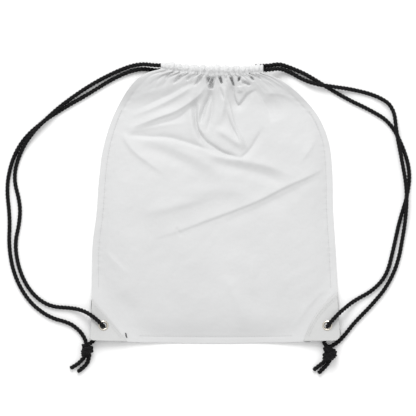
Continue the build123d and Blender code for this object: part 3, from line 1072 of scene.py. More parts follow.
    def front_height(self, x: np.ndarray, y: np.ndarray, across: np.ndarray) -> np.ndarray:
        """Height of the front panel, with every fold, gather and pucker.

        Args:
            x: Positions across, in millimetres.
            y: Positions up.
            across: The same points as shares of the cloth's width.

        Returns:
            Heights, of the same shape.
        """
        where = np.stack([x.ravel(), y.ravel()], -1)
        inside = self.inside(where).reshape(x.shape)
        past = self.past_fold(x, y)
        in_seam = np.maximum(inside - self.seam_margin, 0.0)
        pocket = 1 - np.exp(-((in_seam / 17.0) ** 1.25))
        open_cloth = eased(past, 32.0, -12.0)
        to_mouth = eased(y, 128.0, 180.0)
        folds = sum(fold.height(where) for fold in PANEL_FOLDS).reshape(x.shape)
        waves = 1.3 * soft_noise(x, y, 72.0, 3) + 0.55 * soft_noise(x + 0.4 * y, y, 27.0, 4)
        waves = waves + 0.22 * soft_noise(x, y - 0.5 * x, 11.0, 8)
        body = (self.puff + waves + folds) * pocket * open_cloth
        from_seam = inside - self.seam_margin
        pucker = 0.22 * np.sin(y / 1.9 + np.sin(y / 11.0) * 3) * np.exp(-((from_seam / 3) ** 2))
        groove = -0.5 * np.exp(-(((from_seam + 1.0) / 1.5) ** 2))
        two_sheets = 1.5
        low = two_sheets + self.lift(x, y) + body + (pucker + groove) * open_cloth
        high = self.mouth_height + (folds + 0.6 * waves) * eased(y, 178.0, 150.0)
        gathered = low + (high - low) * to_mouth
        below_hem = np.maximum(self.hem_y(across) - y, 0.0)
        pleats = 4.2 * (self.ruffle(across) - 0.25) * np.exp(-((below_hem / 9.0) ** 1.1))
        crinkle = soft_noise(across * self.mouth_width, below_hem * 0.4, 3.0, 21)
        crinkles = 1.3 * crinkle * np.exp(-below_hem / 12.0)
        tucks = sum(tuck.height(where) for tuck in HEM_TUCKS).reshape(x.shape)
        return gathered + pleats + crinkles + tucks * eased(below_hem, 1.6, 5.0)

    def hem_y(self, across: np.ndarray) -> np.ndarray:
        """Y of the mouth line, where the panels meet their hems."""
        ends = self.left_mouth[1] * (1 - across) + self.right_mouth[1] * across
        return ends + self.mouth_line(across)


# ---- Panels ---------------------------------------------------------------------------


@dataclass
class Panel:
    """One panel of the bag with its hem rolled over the cords."""

    shape: BagShape
    facing: Facing
    columns: int = 300
    hem_depth: float = 5.5
    hem_end_depth: float = 3.5
    hem_steps: int = 30
    flat_width: float = 0.34
    flat_height: float = 0.43

    @property
    def is_front(self) -> bool:
        """Whether this is the panel that shows."""
        return self.facing is Facing.FRONT

    def rows(self) -> np.ndarray:
        """Shares of the height for the panel's rows, closer together towards the mouth."""
        even = np.linspace(0.0, 1.0, 262 if self.is_front else 150)
        return even + 0.16 * np.sin(math.pi * even) * even

    def hem_rows(self, across: np.ndarray) -> np.ndarray:
        """The hem's points, from the mouth line over the cords and back inside.

        Args:
            across: Shares of the cloth's width.

        Returns:
            Points, one row of them for each step round the hem.
        """
        mouth = self.shape.place(across, np.ones_like(across))
        deeper = (self.hem_depth - self.hem_end_depth) * eased(across, 0.0, 0.08)
        depth = self.hem_end_depth + deeper + 0.15 * np.sin(across * 61.0)
        middle_y = mouth[:, 1] + depth
        middle_z = IN_FRONT_HEM if self.is_front else IN_BACK_HEM
        round_cord = 3.8 if self.is_front else 3.2
        crest = 4.6 if self.is_front else 1.0
        width = 138.0
        foot = math.radians(150.0)
        rows = []
        for turn in np.radians(np.linspace(128.0, -158.0, self.hem_steps)):
            ruffle = self.shape.ruffle(across, foot - turn)
            lean = soft_noise(across * width, np.full_like(across, turn * 4.0), 5.0, 12)
            crinkle = 0.7 * soft_noise(across * width, np.full_like(across, turn * 5.0), 1.9, 13)
            outward = 0.5 + 0.5 * math.sin(turn)
            edge = max(math.cos(turn), 0.0)
            grown_y = depth + (3.8 * (ruffle - 0.4) + crinkle) * (0.1 + 0.9 * edge)
            grown_z = round_cord + crest * ruffle * (0.3 + 0.7 * outward) + crinkle * outward
            rise = grown_z * math.sin(turn)
            x = mouth[:, 0] + 1.3 * lean * outward * ruffle
            y = middle_y + grown_y * math.cos(turn)
            z = middle_z + (rise if self.is_front else -rise)
            rows.append(np.stack([x, y, np.maximum(z, 0.15)], -1))
        return np.array(rows)

    def build(self, material: bpy.types.Material) -> bpy.types.Object:
        """Makes the panel as one continuous sheet.

        Args:
            material: The cloth's finish.

        Returns:
            The panel's object.
        """
        shape = self.shape
        across_row = np.linspace(0.0, 1.0, self.columns)
        across, up = np.meshgrid(across_row, self.rows())
        flat = shape.place(across, up)
        height = shape.front_height if self.is_front else shape.back_height
        z = height(flat[..., 0], flat[..., 1], across)
        body = np.concatenate([flat, z[..., None]], -1)
        points = np.concatenate([body, self.hem_rows(across_row)])
        below_hem = 0.40
        hem_reach = below_hem + np.linspace(0.001, 0.036, self.hem_steps)
        reach = np.concatenate([up[:, 0] * below_hem, hem_reach])
        wide = across_row[None, :] * self.flat_width
        cloth = np.stack(np.broadcast_arrays(wide, reach[:, None]), -1)
        faces = grid_faces(len(points), self.columns)
        faces = faces[self.kept(points, faces)]
        if not self.is_front:
            faces = faces[:, ::-1]
        name = self.facing.value + "_sheet"
        return mesh_piece(name, points.reshape(-1, 3), faces, material, cloth.reshape(-1, 2))

    def kept(self, points: np.ndarray, faces: np.ndarray) -> np.ndarray:
        """Leaves out the hem's inner wall at its ends, where a cord turns into the other hem.

        Args:
            points: The panel's points, one row of them for each step up the cloth.
            faces: Point numbers of each face.

        Returns:
            Whether each face stays.
        """
        notch = 12.0
        inner_rows = 14
        x = points.reshape(-1, 3)[faces].mean(1)[:, 0]
        inner = faces[:, 0] // self.columns > len(points) - inner_rows
        at_left = x < self.shape.left_mouth[0] + notch
        at_right = x > self.shape.right_mouth[0] - notch
        return ~(inner & (at_left | at_right))

    def dress(self, piece: bpy.types.Object) -> None:
        """Args:
            piece: The panel's object.
        """
        name = self.facing.value
        tie(piece, "bag_fabric", name + "_panel", name + "_channel")


# ---- Bottom corners -------------------------------------------------------------------


@dataclass
class CornerPatch:
    """A triangular reinforcement sewn over a bottom corner."""

    shape: BagShape
    side: Side
    facing: Facing
    bottom_leg: float = 50.0
    thickness: float = 0.6
    sewn_inside: float = 0.9
    shows_past_edge: float = 0.7
    steps: int = 36

    @property
    def is_front(self) -> bool:
        """Whether this patch lies on the front panel."""
        return self.facing is Facing.FRONT

    @property
    def side_leg(self) -> float:
        """How far the patch reaches up the bag's side."""
        return 56.0 if self.side is Side.LEFT else 66.0

    @property
    def bulge(self) -> float:
        """How far the long edge bows out in its middle."""
        return 1.0 if self.side is Side.LEFT else 7.0

    @property
    def name(self) -> str:
        """The CAD node that it stands for."""
        return f"{self.side.label}_{self.facing.value}_patch"

    def outline(self) -> np.ndarray:
        """The patch's points in the plane, row by row towards the corner's tip.

        Returns:
            X and Y in the last axis.
        """
        shape = self.shape
        sign = self.side.value
        towards_tip = np.linspace(1.0, 0.0, self.steps) ** 1.1
        share, along = np.meshgrid(np.linspace(0.0, 1.0, self.steps), towards_tip)
        edge = shape.left_edge() if self.side is Side.LEFT else shape.right_edge()
        tall = edge[-1][1] - edge[0][1]
        up_side = shape.edge_at(edge, along * self.side_leg / tall)
        bottom_x = shape.half_width - along * self.bottom_leg
        bow = shape.bottom_bow * (1 - (bottom_x / shape.half_width) ** 2)
        bottom = np.stack([sign * bottom_x, shape.corner_y - bow], -1)
        flat = up_side * (1 - share[..., None]) + bottom * share[..., None]
        swell = self.bulge * np.sin(math.pi * share) * along
        flat[..., 0] -= sign * swell * 0.78
        flat[..., 1] += swell * 0.62
        return shape.rounded(flat)

    def build(self, material: bpy.types.Material) -> bpy.types.Object:
        """Makes the patch as a thin plate that follows the lifted corner.

        Args:
            material: Its finish.

        Returns:
            The patch's object.
        """
        flat = self.outline()
        if not self.is_front:
            flat = flat + self.slipped(flat)
        level = 2.05 if self.is_front else -0.45
        z = self.shape.lift(flat[..., 0], flat[..., 1]) + level
        points = np.concatenate([flat, z[..., None]], -1).reshape(-1, 3)
        faces = grid_faces(self.steps, self.steps)
        if self.side is Side.LEFT:
            faces = faces[:, ::-1]
        cloth = flat.reshape(-1, 2) * MM
        piece = mesh_piece(self.name + "_sheet", points, faces, material, cloth)
        body = piece.modifiers.new("thickness", "SOLIDIFY")
        body.thickness = self.thickness * MM
        body.offset = 0.0
        return piece

    def slipped(self, flat: np.ndarray) -> np.ndarray:
        """How far the back patch was sewn inside the edge, or shows past it in two places.

        Args:
            flat: Points of the patch in the plane.

        Returns:
            The moves in X and Y.
        """
        side_spot = -139.0 if self.side is Side.LEFT else -178.0
        bottom_spot = 200.0 if self.side is Side.LEFT else 126.0
        near_side = np.exp(-(((flat[..., 1] - side_spot) / 9.0) ** 4))
        near_bottom = np.exp(-(((np.abs(flat[..., 0]) - bottom_spot) / 6.0) ** 4))
        swing = self.sewn_inside + self.shows_past_edge
        out_x = -self.sewn_inside + swing * near_side
        out_y = -self.sewn_inside + swing * near_bottom
        return np.stack([self.side.value * out_x, -out_y], -1)

    def dress(self, piece: bpy.types.Object) -> None:
        """Args:
            piece: The patch's object.
        """
        tie(piece, "front_patch" if self.is_front else "back_patch", self.name)


@dataclass
class Eyelet:
    """A rolled-rim eyelet and the washer that it is set over."""

    shape: BagShape
    side: Side
    steps: int = 72

    def axes(self) -> tuple[np.ndarray, np.ndarray]:
        """Where the eyelet sits on the lifted corner.

        Returns:
            The point where its axis meets the corner's underside, and the three axes as rows.
        """
        shape = self.shape
        sign = self.side.value
        angle = math.atan(shape.lift_slope)
        level = math.cos(angle)
        steep = math.sin(angle)
        x = sign * (shape.half_width - shape.eyelet_from_side)
        flat = np.array([x, shape.corner_y + shape.eyelet_from_bottom])
        outward = np.array([sign, -1.0]) / math.sqrt(2)
        past = float(shape.past_fold(flat[0], flat[1]))
        origin = np.array([*(flat + outward * past * (level - 1)), past * steep])
        slope = np.array([*(outward * level), steep])
        up = np.array([*(-outward * steep), level])
        return origin, np.array([slope, np.cross(up, slope), up])

    def turned(
        self, name: str, profile: tuple[FlatPoint, ...], material: bpy.types.Material
    ) -> bpy.types.Object:
        """Turns a closed profile about the eyelet's axis.

        Args:
            name: The piece's name.
            profile: Radius and height pairs, anticlockwise.
            material: Its finish.

        Returns:
            The turned ring.
        """
        origin, axes = self.axes()
        turn = np.linspace(0, 2 * math.pi, self.steps, endpoint=False)
        rows = []
        for radius, height in profile:
            level = np.full_like(turn, height)
            local = np.stack([radius * np.cos(turn), radius * np.sin(turn), level], -1)
            rows.append(origin + local @ axes)
        points = np.concatenate(rows)
        faces = grid_faces(len(rows) + 1, self.steps, closed=True) % len(points)
        return mesh_piece(name, points, faces, material)

    def build(self, material: bpy.types.Material) -> list[bpy.types.Object]:
        """Makes the eyelet and its washer.

        Args:
            material: The metal's finish.

        Returns:
            Both rings.
        """
        inner = 4.0
        outer = 6.8
        rim = (
            (inner, -1.1),
            (inner + 0.3, -1.2),
            (inner + 0.6, -1.1),
            (inner + 0.6, 2.62),
            (outer - 0.3, 2.62),
            (outer, 2.75),
            (outer - 0.05, 2.98),
            (outer - 0.5, 3.28),
            (outer - 1.1, 3.46),
            (outer - 1.7, 3.46),
            (inner + 0.55, 3.2),
            (inner + 0.15, 2.8),
            (inner, 2.3),
        )
        flange = self.turned(f"{self.side.label}_eyelet_ring", rim, material)
        under = (
            (inner + 0.62, -0.72),
            (inner + 0.62, -1.02),
            (5.3, -1.22),
            (6.0, -1.08),
            (6.2, -0.8),
            (6.0, -0.72),
        )
        washer = self.turned(f"{self.side.label}_washer_ring", under, material)
        return [flange, washer]

    def dress(self, pieces: list[bpy.types.Object]) -> None:
        """Ties the rings to the model."""
        for piece, node in zip(pieces, ("_eyelet", "_eyelet_washer")):
            tie(piece, "eyelet_metal", self.side.label + node)


# ---- Stitching ------------------------------------------------------------------------


@dataclass
class StitchRows:
    """Rows of sewn stitches that follow the cloth, made as one piece."""

    name: str
    replaces: tuple[str, ...]
    length: float = 2.7
    pitch: float = 3.8
    radius: float = 0.28
    rings: int = 6

    def __post_init__(self) -> None:
        """Starts with no stitches."""
        self.points: list[np.ndarray] = []
        self.faces: list[np.ndarray] = []
        self.cloth: list[np.ndarray] = []
        self.count = 0

    def add_row(self, line: np.ndarray) -> None:
        """Sews one row of stitches along a line on the cloth.

        Args:
            line: Points on the surface, in millimetres, close together.
        """
        reached = distances_along(line)
        for start in np.arange(self.pitch / 2, reached[-1] - self.length, self.pitch):
            spots = start + self.length * np.linspace(0.0, 1.0, self.rings)
            middle = np.stack([np.interp(spots, reached, line[:, axis]) for axis in range(3)], -1)
            self._add_stitch(middle)

    def _add_stitch(self, middle: np.ndarray) -> None:
        """Adds one stitch, humped in the middle and dipping into the cloth at its ends.

        Args:
            middle: Points along its middle, one row each.
        """
        hump = (-0.25, 0.22, 0.32, 0.32, 0.22, -0.25)
        up = np.array([0.0, 0.0, 1.0])
        around = np.linspace(0, 2 * math.pi, self.rings, endpoint=False)
        ahead = middle[-1] - middle[0]
        ahead = ahead / np.linalg.norm(ahead)
        beside = np.cross(ahead, up)
        ring = np.outer(np.cos(around), beside) + np.outer(np.sin(around), up)
        rings = [centre + up * rise + ring * self.radius for centre, rise in zip(middle, hump)]
        start = self.count * self.rings**2
        self.points.append(np.concatenate(rings))
        self.faces.append(grid_faces(self.rings, self.rings, closed=True) + start)
        reach = np.linspace(0, self.length * MM, self.rings)
        turn, along = np.meshgrid(around / (2 * math.pi), reach)
        self.cloth.append(np.stack([turn, along], -1).reshape(-1, 2))
        self.count += 1

    def build(self, material: bpy.types.Material) -> bpy.types.Object:
        """Makes the rows as one object with the given finish."""
        points, faces, cloth = map(np.concatenate, (self.points, self.faces, self.cloth))
        return mesh_piece(self.name, points, faces, material, cloth)

    def sewn(self, material: bpy.types.Material) -> bpy.types.Object:
        """Makes the rows and ties them to the model.

        Args:
            material: The thread's finish.

        Returns:
            The rows' object.
        """
        piece = self.build(material)
        tie(piece, "thread", *self.replaces)
        return piece


@dataclass
class Sewing:
    """Every visible row of stitches."""

    shape: BagShape
    material: bpy.types.Material

    def on_panel(self, across: np.ndarray, up: np.ndarray, facing: Facing) -> np.ndarray:
        """Points on a panel's surface at shares of the cloth.

        Args:
            across: Shares of the width.
            up: Shares of the height.
            facing: Which panel.

        Returns:
            The points, with X, Y and Z in the last axis.
        """
        flat = self.shape.place(across, up)
        height = self.shape.front_height if facing is Facing.FRONT else self.shape.back_height
        z = height(flat[..., 0], flat[..., 1], across)
        return np.concatenate([flat, z[..., None]], -1)

    def build(self) -> list[bpy.types.Object]:
        """Sews the side and bottom seams, both hems and the corner patches.

        Returns:
            One object for each group of rows.
        """
        made = [self._seams(), self._hem(Facing.FRONT), self._hem(Facing.BACK)]
        made += [self._patch_rows(side) for side in Side]
        return made

    def _seams(self) -> bpy.types.Object:
        """The rows along both sides and the bottom.

        Returns:
            The rows' object.
        """
        rows = StitchRows("seam_stitches", ("seam_stitching",))
        side_inset = 0.0265
        bottom_inset = 0.0225
        up = np.linspace(0.19, 0.86, 700)
        for across in (side_inset, 1 - side_inset):
            rows.add_row(self.on_panel(np.full_like(up, across), up, Facing.FRONT))
        across = np.linspace(0.19, 0.81, 600)
        rows.add_row(self.on_panel(across, np.full_like(across, bottom_inset), Facing.FRONT))
        return rows.sewn(self.material)

    def _hem(self, facing: Facing) -> bpy.types.Object:
        """The row that closes a hem round the cords.

        Args:
            facing: Which panel's hem.

        Returns:
            The row's object.
        """
        name = facing.value + "_hem_stitches"
        rows = StitchRows(name, (facing.value + "_hem_stitching",), 2.2, 3.0, 0.25)
        across = np.linspace(0.02, 0.98, 900)
        up_to_hem = 0.9965
        rows.add_row(self.on_panel(across, np.full_like(across, up_to_hem), facing))
        return rows.sewn(self.material)

    def _patch_rows(self, side: Side) -> bpy.types.Object:
        """Two rows along a front patch's long edge.

        Args:
            side: Which bottom corner.

        Returns:
            The rows' object.
        """
        name = side.label + "_patch_stitches"
        rows = StitchRows(name, (side.label + "_patch_stitching",), 2.6, 3.6)
        patch = CornerPatch(self.shape, side, Facing.FRONT)
        sign = side.value
        top = np.array([sign * self.shape.half_width, self.shape.corner_y + patch.side_leg])
        foot = np.array([sign * (self.shape.half_width - patch.bottom_leg), self.shape.corner_y])
        patch_top = 2.35
        share = np.linspace(0.07, 0.93, 200)[:, None]
        for inset in (2.2, 4.8):
            line = top * (1 - share) + foot * share
            swell = patch.bulge * np.sin(math.pi * share) - inset
            line = line + swell * np.array([-sign * 0.74, 0.67])
            z = self.shape.lift(line[:, 0], line[:, 1]) + patch_top
            rows.add_row(np.concatenate([line, z[:, None]], -1))
        return rows.sewn(self.material)


# ---- Cords ----------------------------------------------------------------------------


@dataclass(frozen=True)
class Rope:
    """A three-strand twisted cord, in millimetres."""

    diameter: float = 5.0
    strand_radius: float = 1.45
    strand_offset: float = 1.56
    pitch: float = 14.4
    points_per_strand: int = 9

    def section(self) -> tuple[np.ndarray, np.ndarray]:
        """The cord's outer edge seen end on.

        Returns:
            Angle and radius of each point, and each point's share round its own strand.
        """
        between_strands = self.strand_offset * math.sin(math.pi / 3)
        reach = math.pi - math.asin(between_strands / self.strand_radius)
        turns = np.linspace(-reach, reach, self.points_per_strand)
        x = self.strand_offset + self.strand_radius * np.cos(turns)
        y = self.strand_radius * np.sin(turns)
        angles, radii, shares = [], [], []
        for strand in range(3):
            angles.append(np.arctan2(y, x) + strand * 2 * math.pi / 3)
            radii.append(np.hypot(x, y))
            shares.append(strand + 0.05 + 0.9 * np.linspace(0, 1, len(turns)))
        edge = np.stack([np.concatenate(angles), np.concatenate(radii)], -1)
        return edge, np.concatenate(shares) / 3

    def sweep(
        self, name: str, line: np.ndarray, material: bpy.types.Material, phase: float
    ) -> bpy.types.Object:
        """Lays the twisted cord along a line.

        Args:
            name: The piece's name.
            line: The middle of the cord, in millimetres.
            material: Its finish.
            phase: Turn of the strands at the start, in radians.

        Returns:
            The cord's object.
        """
        section, shares = self.section()
        reached = distances_along(line)
        ahead = np.gradient(line, axis=0)
        ahead /= np.linalg.norm(ahead, axis=1)[:, None]
        beside = np.cross(ahead[0], (0.0, 0.0, 1.0))
        taper = np.minimum(1.0, 0.55 + np.minimum(reached, reached[-1] - reached) / 2.2)
        rings = []
        for centre, direction, arc, size in zip(line, ahead, reached, taper):
            beside = beside - direction * (beside @ direction)
            beside /= np.linalg.norm(beside)
            above = np.cross(direction, beside)
            turn = section[:, 0] + phase + 2 * math.pi * arc / self.pitch
            spread = np.outer(np.cos(turn), beside) + np.outer(np.sin(turn), above)
            rings.append(centre + spread * (section[:, 1] * size)[:, None])
        count = len(section)
        points = np.concatenate([*rings, line[:1], line[-1:]])
        faces = [tuple(face) for face in grid_faces(len(line), count, closed=True)]
        tip = len(points) - 2
        last = (len(line) - 1) * count
        faces += [(tip, (index + 1) % count, index) for index in range(count)]
        faces += [(tip + 1, last + index, last + (index + 1) % count) for index in range(count)]
        round_share, along = np.meshgrid(shares, reached * MM)
        cloth = np.stack([round_share, along], -1).reshape(-1, 2)
        cloth = np.concatenate([cloth, [[0.5, 0.0], [0.5, reached[-1] * MM]]])
        return mesh_piece(name, points, faces, material, cloth)


def route_line(points: list[Point], detail: int = 30) -> np.ndarray:
    """The smooth line that a cord takes with these points as its controls.

    Args:
        points: The route's points, in millimetres.
        detail: Steps of the spline between two controls.

    Returns:
        Points of the NURBS spline, in millimetres.
    """
    curve = bpy.data.curves.new("route", "CURVE")
    curve.dimensions = "3D"
    curve.resolution_u = detail
    spline = curve.splines.new("NURBS")
    spline.points.add(len(points) - 1)
    for control, point in zip(spline.points, points):
        control.co = (*(value * MM for value in point), 1.0)
    spline.order_u = 3
    spline.use_endpoint_u = True
    holder = bpy.data.objects.new("route", curve)
    bpy.context.scene.collection.objects.link(holder)
    bpy.context.view_layer.update()
    mesh = bpy.data.meshes.new_from_object(holder)
    line = np.array([tuple(vertex.co) for vertex in mesh.vertices]) / MM
    bpy.data.objects.remove(holder)
    bpy.data.curves.remove(curve)
    bpy.data.meshes.remove(mesh)
    apart = np.linalg.norm(np.diff(line, axis=0), axis=1) > 1e-4
    return line[np.concatenate([[True], apart])]


def laid(*points: tuple[float, ...]) -> tuple[Point, ...]:
    """Points of a cord's route; one that is given without a height lies on the surface."""
    return tuple((*point, FLOOR)[:3] for point in points)


@dataclass(frozen=True)
class StrapRoute:
    """The points of one shoulder cord, in millimetres."""

    side: Side
    front_exit: tuple[Point, ...]
    back_exit: tuple[Point, ...]
    eyelet_strand: tuple[Point, ...]
    knot_strand: tuple[Point, ...]
    over_patch: tuple[Point, ...]
    to_eyelet_knot: tuple[Point, ...]
    to_knot: tuple[Point, ...]
    knot_centre: FlatPoint
    knot_half_width: float
    tails: tuple[tuple[Point, ...], tuple[Point, ...]]
    eyelet_strand_in_front: bool


LEFT_ROUTE = StrapRoute(
    side=Side.LEFT,
    front_exit=laid((-80, 187.25, IN_FRONT_HEM), (-97, 190, 7.5)),
    back_exit=laid((-80, 181.25, IN_BACK_HEM), (-98, 184)),
    eyelet_strand=laid(
        *((-113.4, 188.2), (-136, 179.5), (-168, 163), (-199, 142), (-221, 124, HUMP)),
        *((-248, 98, HUMP), (-266, 71), (-276, 36), (-266, 0), (-267, -26)),
        *((-274, -56), (-267, -94), (-250, -124), (-226, -141), (-196.2, -142.6)),
    ),
    knot_strand=laid(
        *((-115.3, 180.7), (-140, 170), (-172, 150), (-205, 131), (-235, 112)),
        *((-262, 88), (-278, 58), (-285, 22), (-280, -20), (-282, -60)),
        *((-274, -100), (-254, -135), (-226, -156), (-201.1, -162.2)),
    ),
    over_patch=laid((-182, -145, 9.0), (-167, -152.5, 15.2)),
    to_eyelet_knot=laid((-157, -177), (-163, -184), (-170, -190.5)),
    to_knot=laid((-189, -170), (-181, -179), (-177, -187)),
    knot_centre=(-174.5, -199.0),
    knot_half_width=6.6,
    tails=(
        laid((-182, -214), (-190, -221), (-198, -225)),
        laid((-173, -216), (-180, -224), (-188, -230)),
    ),
    eyelet_strand_in_front=True,
)

RIGHT_ROUTE = StrapRoute(
    side=Side.RIGHT,
    front_exit=laid((72, 181.25, IN_FRONT_HEM), (88, 184, 8.0)),
    back_exit=laid((72, 187.25, IN_BACK_HEM), (87, 190.5)),
    eyelet_strand=laid(
        *((102.2, 185.2), (123, 176.5), (148, 161), (180, 142), (212, 127)),
        *((238, 111), (255, 80), (266, 44), (262, 10), (251, -24)),
        *((243, -62), (234, -98), (215, -119), (191.3, -131.6)),
    ),
    knot_strand=laid(
        *((104.3, 177.6), (117.5, 170, FLOOR + 0.5), (135, 162.5, HUMP), (163, 158.5, HUMP)),
        *((189, 155), (220, 147), (243, 132, HUMP), (247, 95, HUMP)),
        *((254, 59, HUMP), (261, 20, HUMP), (260, -14, HUMP), (256, -44)),
        *((249, -82), (234, -114), (213, -139), (197.7, -154.4)),
    ),
    over_patch=laid((179, -140.5, 9.0), (166, -151, 15.4)),
    to_eyelet_knot=laid((149, -178), (147.5, -187), (150, -194)),
    to_knot=laid((187, -166), (177, -179), (167, -190)),
    knot_centre=(155.8, -204.5),
    knot_half_width=8.2,
    tails=(
        laid((149, -215.5), (141.5, -221.5), (133.5, -227.5)),
        laid((153.5, -219), (147, -225.5), (140.5, -232)),
    ),
    eyelet_strand_in_front=False,
)


@dataclass
class ShoulderCord:
    """One cord of the bag: through both hems, down to a bottom corner and tied to itself."""

    shape: BagShape
    route: StrapRoute
    rope: Rope
    material: bpy.types.Material
    mouth_middle: float = -4.0
    near_turn: float = 66.0
    far_turn: float = 65.4
    hem_sag: float = 4.6
    hem_slope: float = 2.6 / 140.0
    wrap_radius: float = 6.4
    rests_low: float = 1.2
    bend_length: float = 0.03

    @property
    def label(self) -> str:
        """The side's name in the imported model."""
        return self.route.side.label

    def through_eyelet(self) -> list[Point]:
        """The points over and under the eyelet, on its own axis.

        Returns:
            The two points in millimetres.
        """
        rim_height = 3.5
        clearance = 1.2
        origin, axes = Eyelet(self.shape, self.route.side).axes()
        over = origin + axes[2] * (rim_height + self.rope.diameter / 2 + clearance)
        over = over - np.array([0.0, self.rests_low, 0.0])
        under = over - axes[2] * ((over[2] - FLOOR) / axes[2][2])
        return [tuple(over), tuple(under)]

    def wraps(self, strand: int) -> list[Point]:
        """A strand's turns round the knot: in along its middle, round outside it, and out.

        Args:
            strand: 0 or 1, the strand that lies nearer or further along the knot.

        Returns:
            Points from the knot's top down to where the tail starts.
        """
        x, y = self.route.knot_centre
        lean = -self.route.side.value
        beside = -1.6 if strand else 1.6
        first_degrees = -85 if strand else -60
        shift = 2.3 if strand else -2.0
        middle_height = 8.9
        turns = 9
        points = [(x + beside, y + 7.5, 3.6), (x + beside, y + 2.0, 7.0), (x + beside, y - 4.0, 8.0)]
        for step in range(turns):
            angle = math.radians(first_degrees - 56 * step)
            along = -6.8 + 10.6 * (step / (turns - 1)) + shift
            slant = 1.6 * math.sin(angle) * lean
            across = self.route.knot_half_width * math.cos(angle)
            rise = middle_height + self.wrap_radius * 0.98 * math.sin(angle)
            points.append((x + across, y + along + slant, max(rise, FLOOR)))
        points += [(x - beside * 0.5, y + 1.0, 7.0), (x - beside, y - 6.0, 5.0)]
        return points

    def strand_line(self, at_eyelet: bool) -> np.ndarray:
        """The whole line of one strand, from inside its hem to its tail.

        Args:
            at_eyelet: Whether it is the strand that goes through the eyelet.

        Returns:
            The line's points in millimetres.
        """
        route = self.route
        in_front = at_eyelet == route.eyelet_strand_in_front
        exit_points = route.front_exit if in_front else route.back_exit
        inside_hem = 18.0
        x, y, z = exit_points[0]
        points = [(x - route.side.value * inside_hem, y, z), *exit_points]
        if at_eyelet:
            points += [*route.eyelet_strand, *route.over_patch, *self.through_eyelet()]
            points += [*route.to_eyelet_knot, *self.wraps(0), *route.tails[0]]
        else:
            points += [*route.knot_strand, *route.to_knot, *self.wraps(1), *route.tails[1]]
        return route_line(points)

    def hem_line(self) -> np.ndarray:
        """The line through both hems, from one exit round the far end to the other.

        Returns:
            The line's points in millimetres.
        """
        route = self.route
        sign = route.side.value
        near = sign * self.near_turn + self.mouth_middle
        far = -sign * self.far_turn + self.mouth_middle
        front_y = route.front_exit[0][1]
        back_y = route.back_exit[0][1]
        sag = self.hem_sag
        drops = ((near, 0.0), (near - sign * 34.0, sag), (far + sign * 40.0, sag), (far, 0.0))
        points = [(x, front_y - drop, IN_FRONT_HEM) for x, drop in drops]
        points += [(x, back_y - drop, IN_BACK_HEM) for x, drop in reversed(drops)]
        left_end = -70.0
        return route_line([(x, y - self.hem_slope * (x - left_end), z) for x, y, z in points])

    def build(self) -> list[bpy.types.Object]:
        return [self._strand(True, 0.4), self._strand(False, 1.9), self._hem_run()]

    def _strand(self, at_eyelet: bool, phase: float) -> bpy.types.Object:
        """Makes one strand and hides the model's parts that it stands for.

        Args:
            at_eyelet: Whether it goes through the eyelet.
            phase: Turn of the rope at its start.

        Returns:
            The strand's object.
        """
        line = self.strand_line(at_eyelet)
        kind = "eyelet" if at_eyelet else "knot"
        piece = self.rope.sweep(f"{self.label}_{kind}_cord", line, self.material, phase)
        start, end = self._bend_points()
        self.label + "_strap"
        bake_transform(piece)
        nodes = [f"{self.label}_{kind}_strand", f"{self.label}_cord_{kind}_run"]
        if not at_eyelet:
            nodes.append(self.label + "_knot")
        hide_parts(*nodes)
        self._declare(piece, line)
        return piece

    def _bend_points(self) -> tuple[Point, Point]:
        """Where a strand starts to turn with its strap, and where it follows it fully.

        Returns:
            Both points in metres.
        """
        joint = next(item for item in frame["joints"] if item["child"] == self.label + "_strap")
        axis = joint["axis"]
        outward = Vector((axis[1], -axis[0], 0.0)).normalized()
        if outward.x * self.route.side.value < 0:
            outward = -outward
        start = Vector(joint["pos_m"])
        return tuple(start), tuple(start + outward * self.bend_length)

    def _hem_run(self) -> bpy.types.Object:
        """Makes the run through both hems.

        Returns:
            The run's object.
        """
        line = self.hem_line()
        drawn_tight = replace(self.rope, strand_radius=1.3, strand_offset=1.34)
        piece = drawn_tight.sweep(self.label + "_hem_cord", line, self.material, 0.0)
        tie(piece, "cord", self.label + "_cord_channel_run")
        self._declare(piece, line)
        return piece

    def _declare(self, piece: bpy.types.Object, line: np.ndarray) -> None:
        """Logs the length of a stretch of the cord.

        Args:
            piece: The stretch's object.
            line: Its middle, in millimetres.
        """
        length = float(distances_along(line)[-1]) * MM
        log.info("%s length %.3f m", piece.name, length)


def loose_end(shape: BagShape, material: bpy.types.Material) -> bpy.types.Object:
    """Lays the thick thread end that sticks out beside the left patch.

    Args:
        shape: The lying bag's shape.
        material: The thread's finish.

    Returns:
        The thread's object.
    """
    flat = ((-122.6, -176.4), (-121.4, -178.4), (-121.8, -180.6), (-120.2, -183.0))
    across = 0.5 + np.array([x for x, _ in flat]) / (2 * shape.half_width)
    above_cloth = np.array([0.2, 0.9, 0.9, 0.5])
    level = shape.front_height(*np.array(flat).T, across) + above_cloth
    line = route_line([(x, y, z) for (x, y), z in zip(flat, level)])
    thread = Rope(strand_radius=0.42, strand_offset=0.4, pitch=4.0, points_per_strand=5)
    piece = thread.sweep("loose_thread_end", line, material, 0.0)
    tie(piece, "thread")
    return piece


# ---- Studio ---------------------------------------------------------------------------


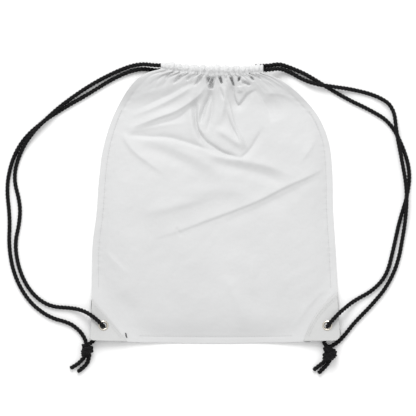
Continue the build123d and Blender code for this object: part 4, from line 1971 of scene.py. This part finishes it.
@dataclass
class Studio:
    """A white tabletop, soft light and a camera straight above."""

    centre: FlatPoint = (-10.0, -6.3)
    view_width: float = 568.0
    lens: float = 200.0
    sensor: float = 36.0

    def camera(self) -> None:
        """Hangs the camera over the bag, looking straight down."""
        data = bpy.data.cameras.new("overhead_camera")
        data.lens = self.lens
        data.sensor_width = self.sensor
        height = self.view_width * MM * self.lens / self.sensor
        data.clip_end = 4 * height
        made = bpy.data.objects.new("overhead_camera", data)
        made.location = (self.centre[0] * MM, self.centre[1] * MM, height)
        bpy.context.scene.collection.objects.link(made)
        bpy.context.scene.camera = made

    def floor(self) -> None:
        """Lays the tabletop."""
        half = 6000.0
        corners = [(-half, -half, 0.0), (half, -half, 0.0), (half, half, 0.0), (-half, half, 0.0)]
        made = mesh_piece("tabletop", np.array(corners), [(0, 1, 2, 3)], FloorFinish().material())

    def area_light(self, name: str, at: Point, size: float, watts: float) -> None:
        """Hangs a square soft light that faces the bag.

        Args:
            name: The light's name.
            at: Where it hangs, in metres.
            size: Its side, in metres.
            watts: Its power.
        """
        data = bpy.data.lights.new(name, "AREA")
        data.shape = "SQUARE"
        data.size = size
        data.energy = watts
        made = bpy.data.objects.new(name, data)
        made.location = at
        made.rotation_euler = (-Vector(at)).to_track_quat("-Z", "Y").to_euler()
        bpy.context.scene.collection.objects.link(made)

    def light(self) -> None:
        """Sets the room's even light and a key light from beyond the mouth."""
        world = bpy.data.worlds.new("white_room")
        world.use_nodes = True
        backdrop = world.node_tree.nodes["Background"]
        backdrop.inputs["Color"].default_value = (1.0, 1.0, 1.0, 1.0)
        backdrop.inputs["Strength"].default_value = 0.86
        bpy.context.scene.world = world
        self.area_light("key_light", (-0.2, 1.95, 1.9), 1.4, 44.0)
        bpy.context.scene.view_settings.view_transform = "Standard"

    def build(self) -> None:
        """Sets up everything round the bag."""
        self.camera()
        self.floor()
        self.light()


# ---- The whole bag --------------------------------------------------------------------


def main() -> None:
    """Builds the bag piece by piece."""
    logging.basicConfig(level=logging.INFO, format="%(name)s: %(message)s")
    shape = BagShape()
    wardrobe = Wardrobe()
    Studio().build()
    rope = Rope()
    for route in (LEFT_ROUTE, RIGHT_ROUTE):
        for piece in ShoulderCord(shape, route, rope, wardrobe.cord).build():
            log.info("built %s", piece.name)
    for facing in Facing:
        panel = Panel(shape, facing)
        piece = panel.build(wardrobe.panel)
        panel.dress(piece)
        log.info("built %s", piece.name)
    for side in Side:
        for facing in Facing:
            patch = CornerPatch(shape, side, facing)
            piece = patch.build(wardrobe.corner if facing is Facing.FRONT else wardrobe.hide)
            patch.dress(piece)
            log.info("built %s", piece.name)
        eyelet = Eyelet(shape, side)
        rings = eyelet.build(wardrobe.eyelet)
        eyelet.dress(rings)
        log.info("built %s eyelet", side.label)
    for piece in Sewing(shape, wardrobe.thread).build():
        log.info("built %s", piece.name)
    end = loose_end(shape, wardrobe.dark_thread)
    log.info("built %s", end.name)


if __name__ == "__main__":
    main()
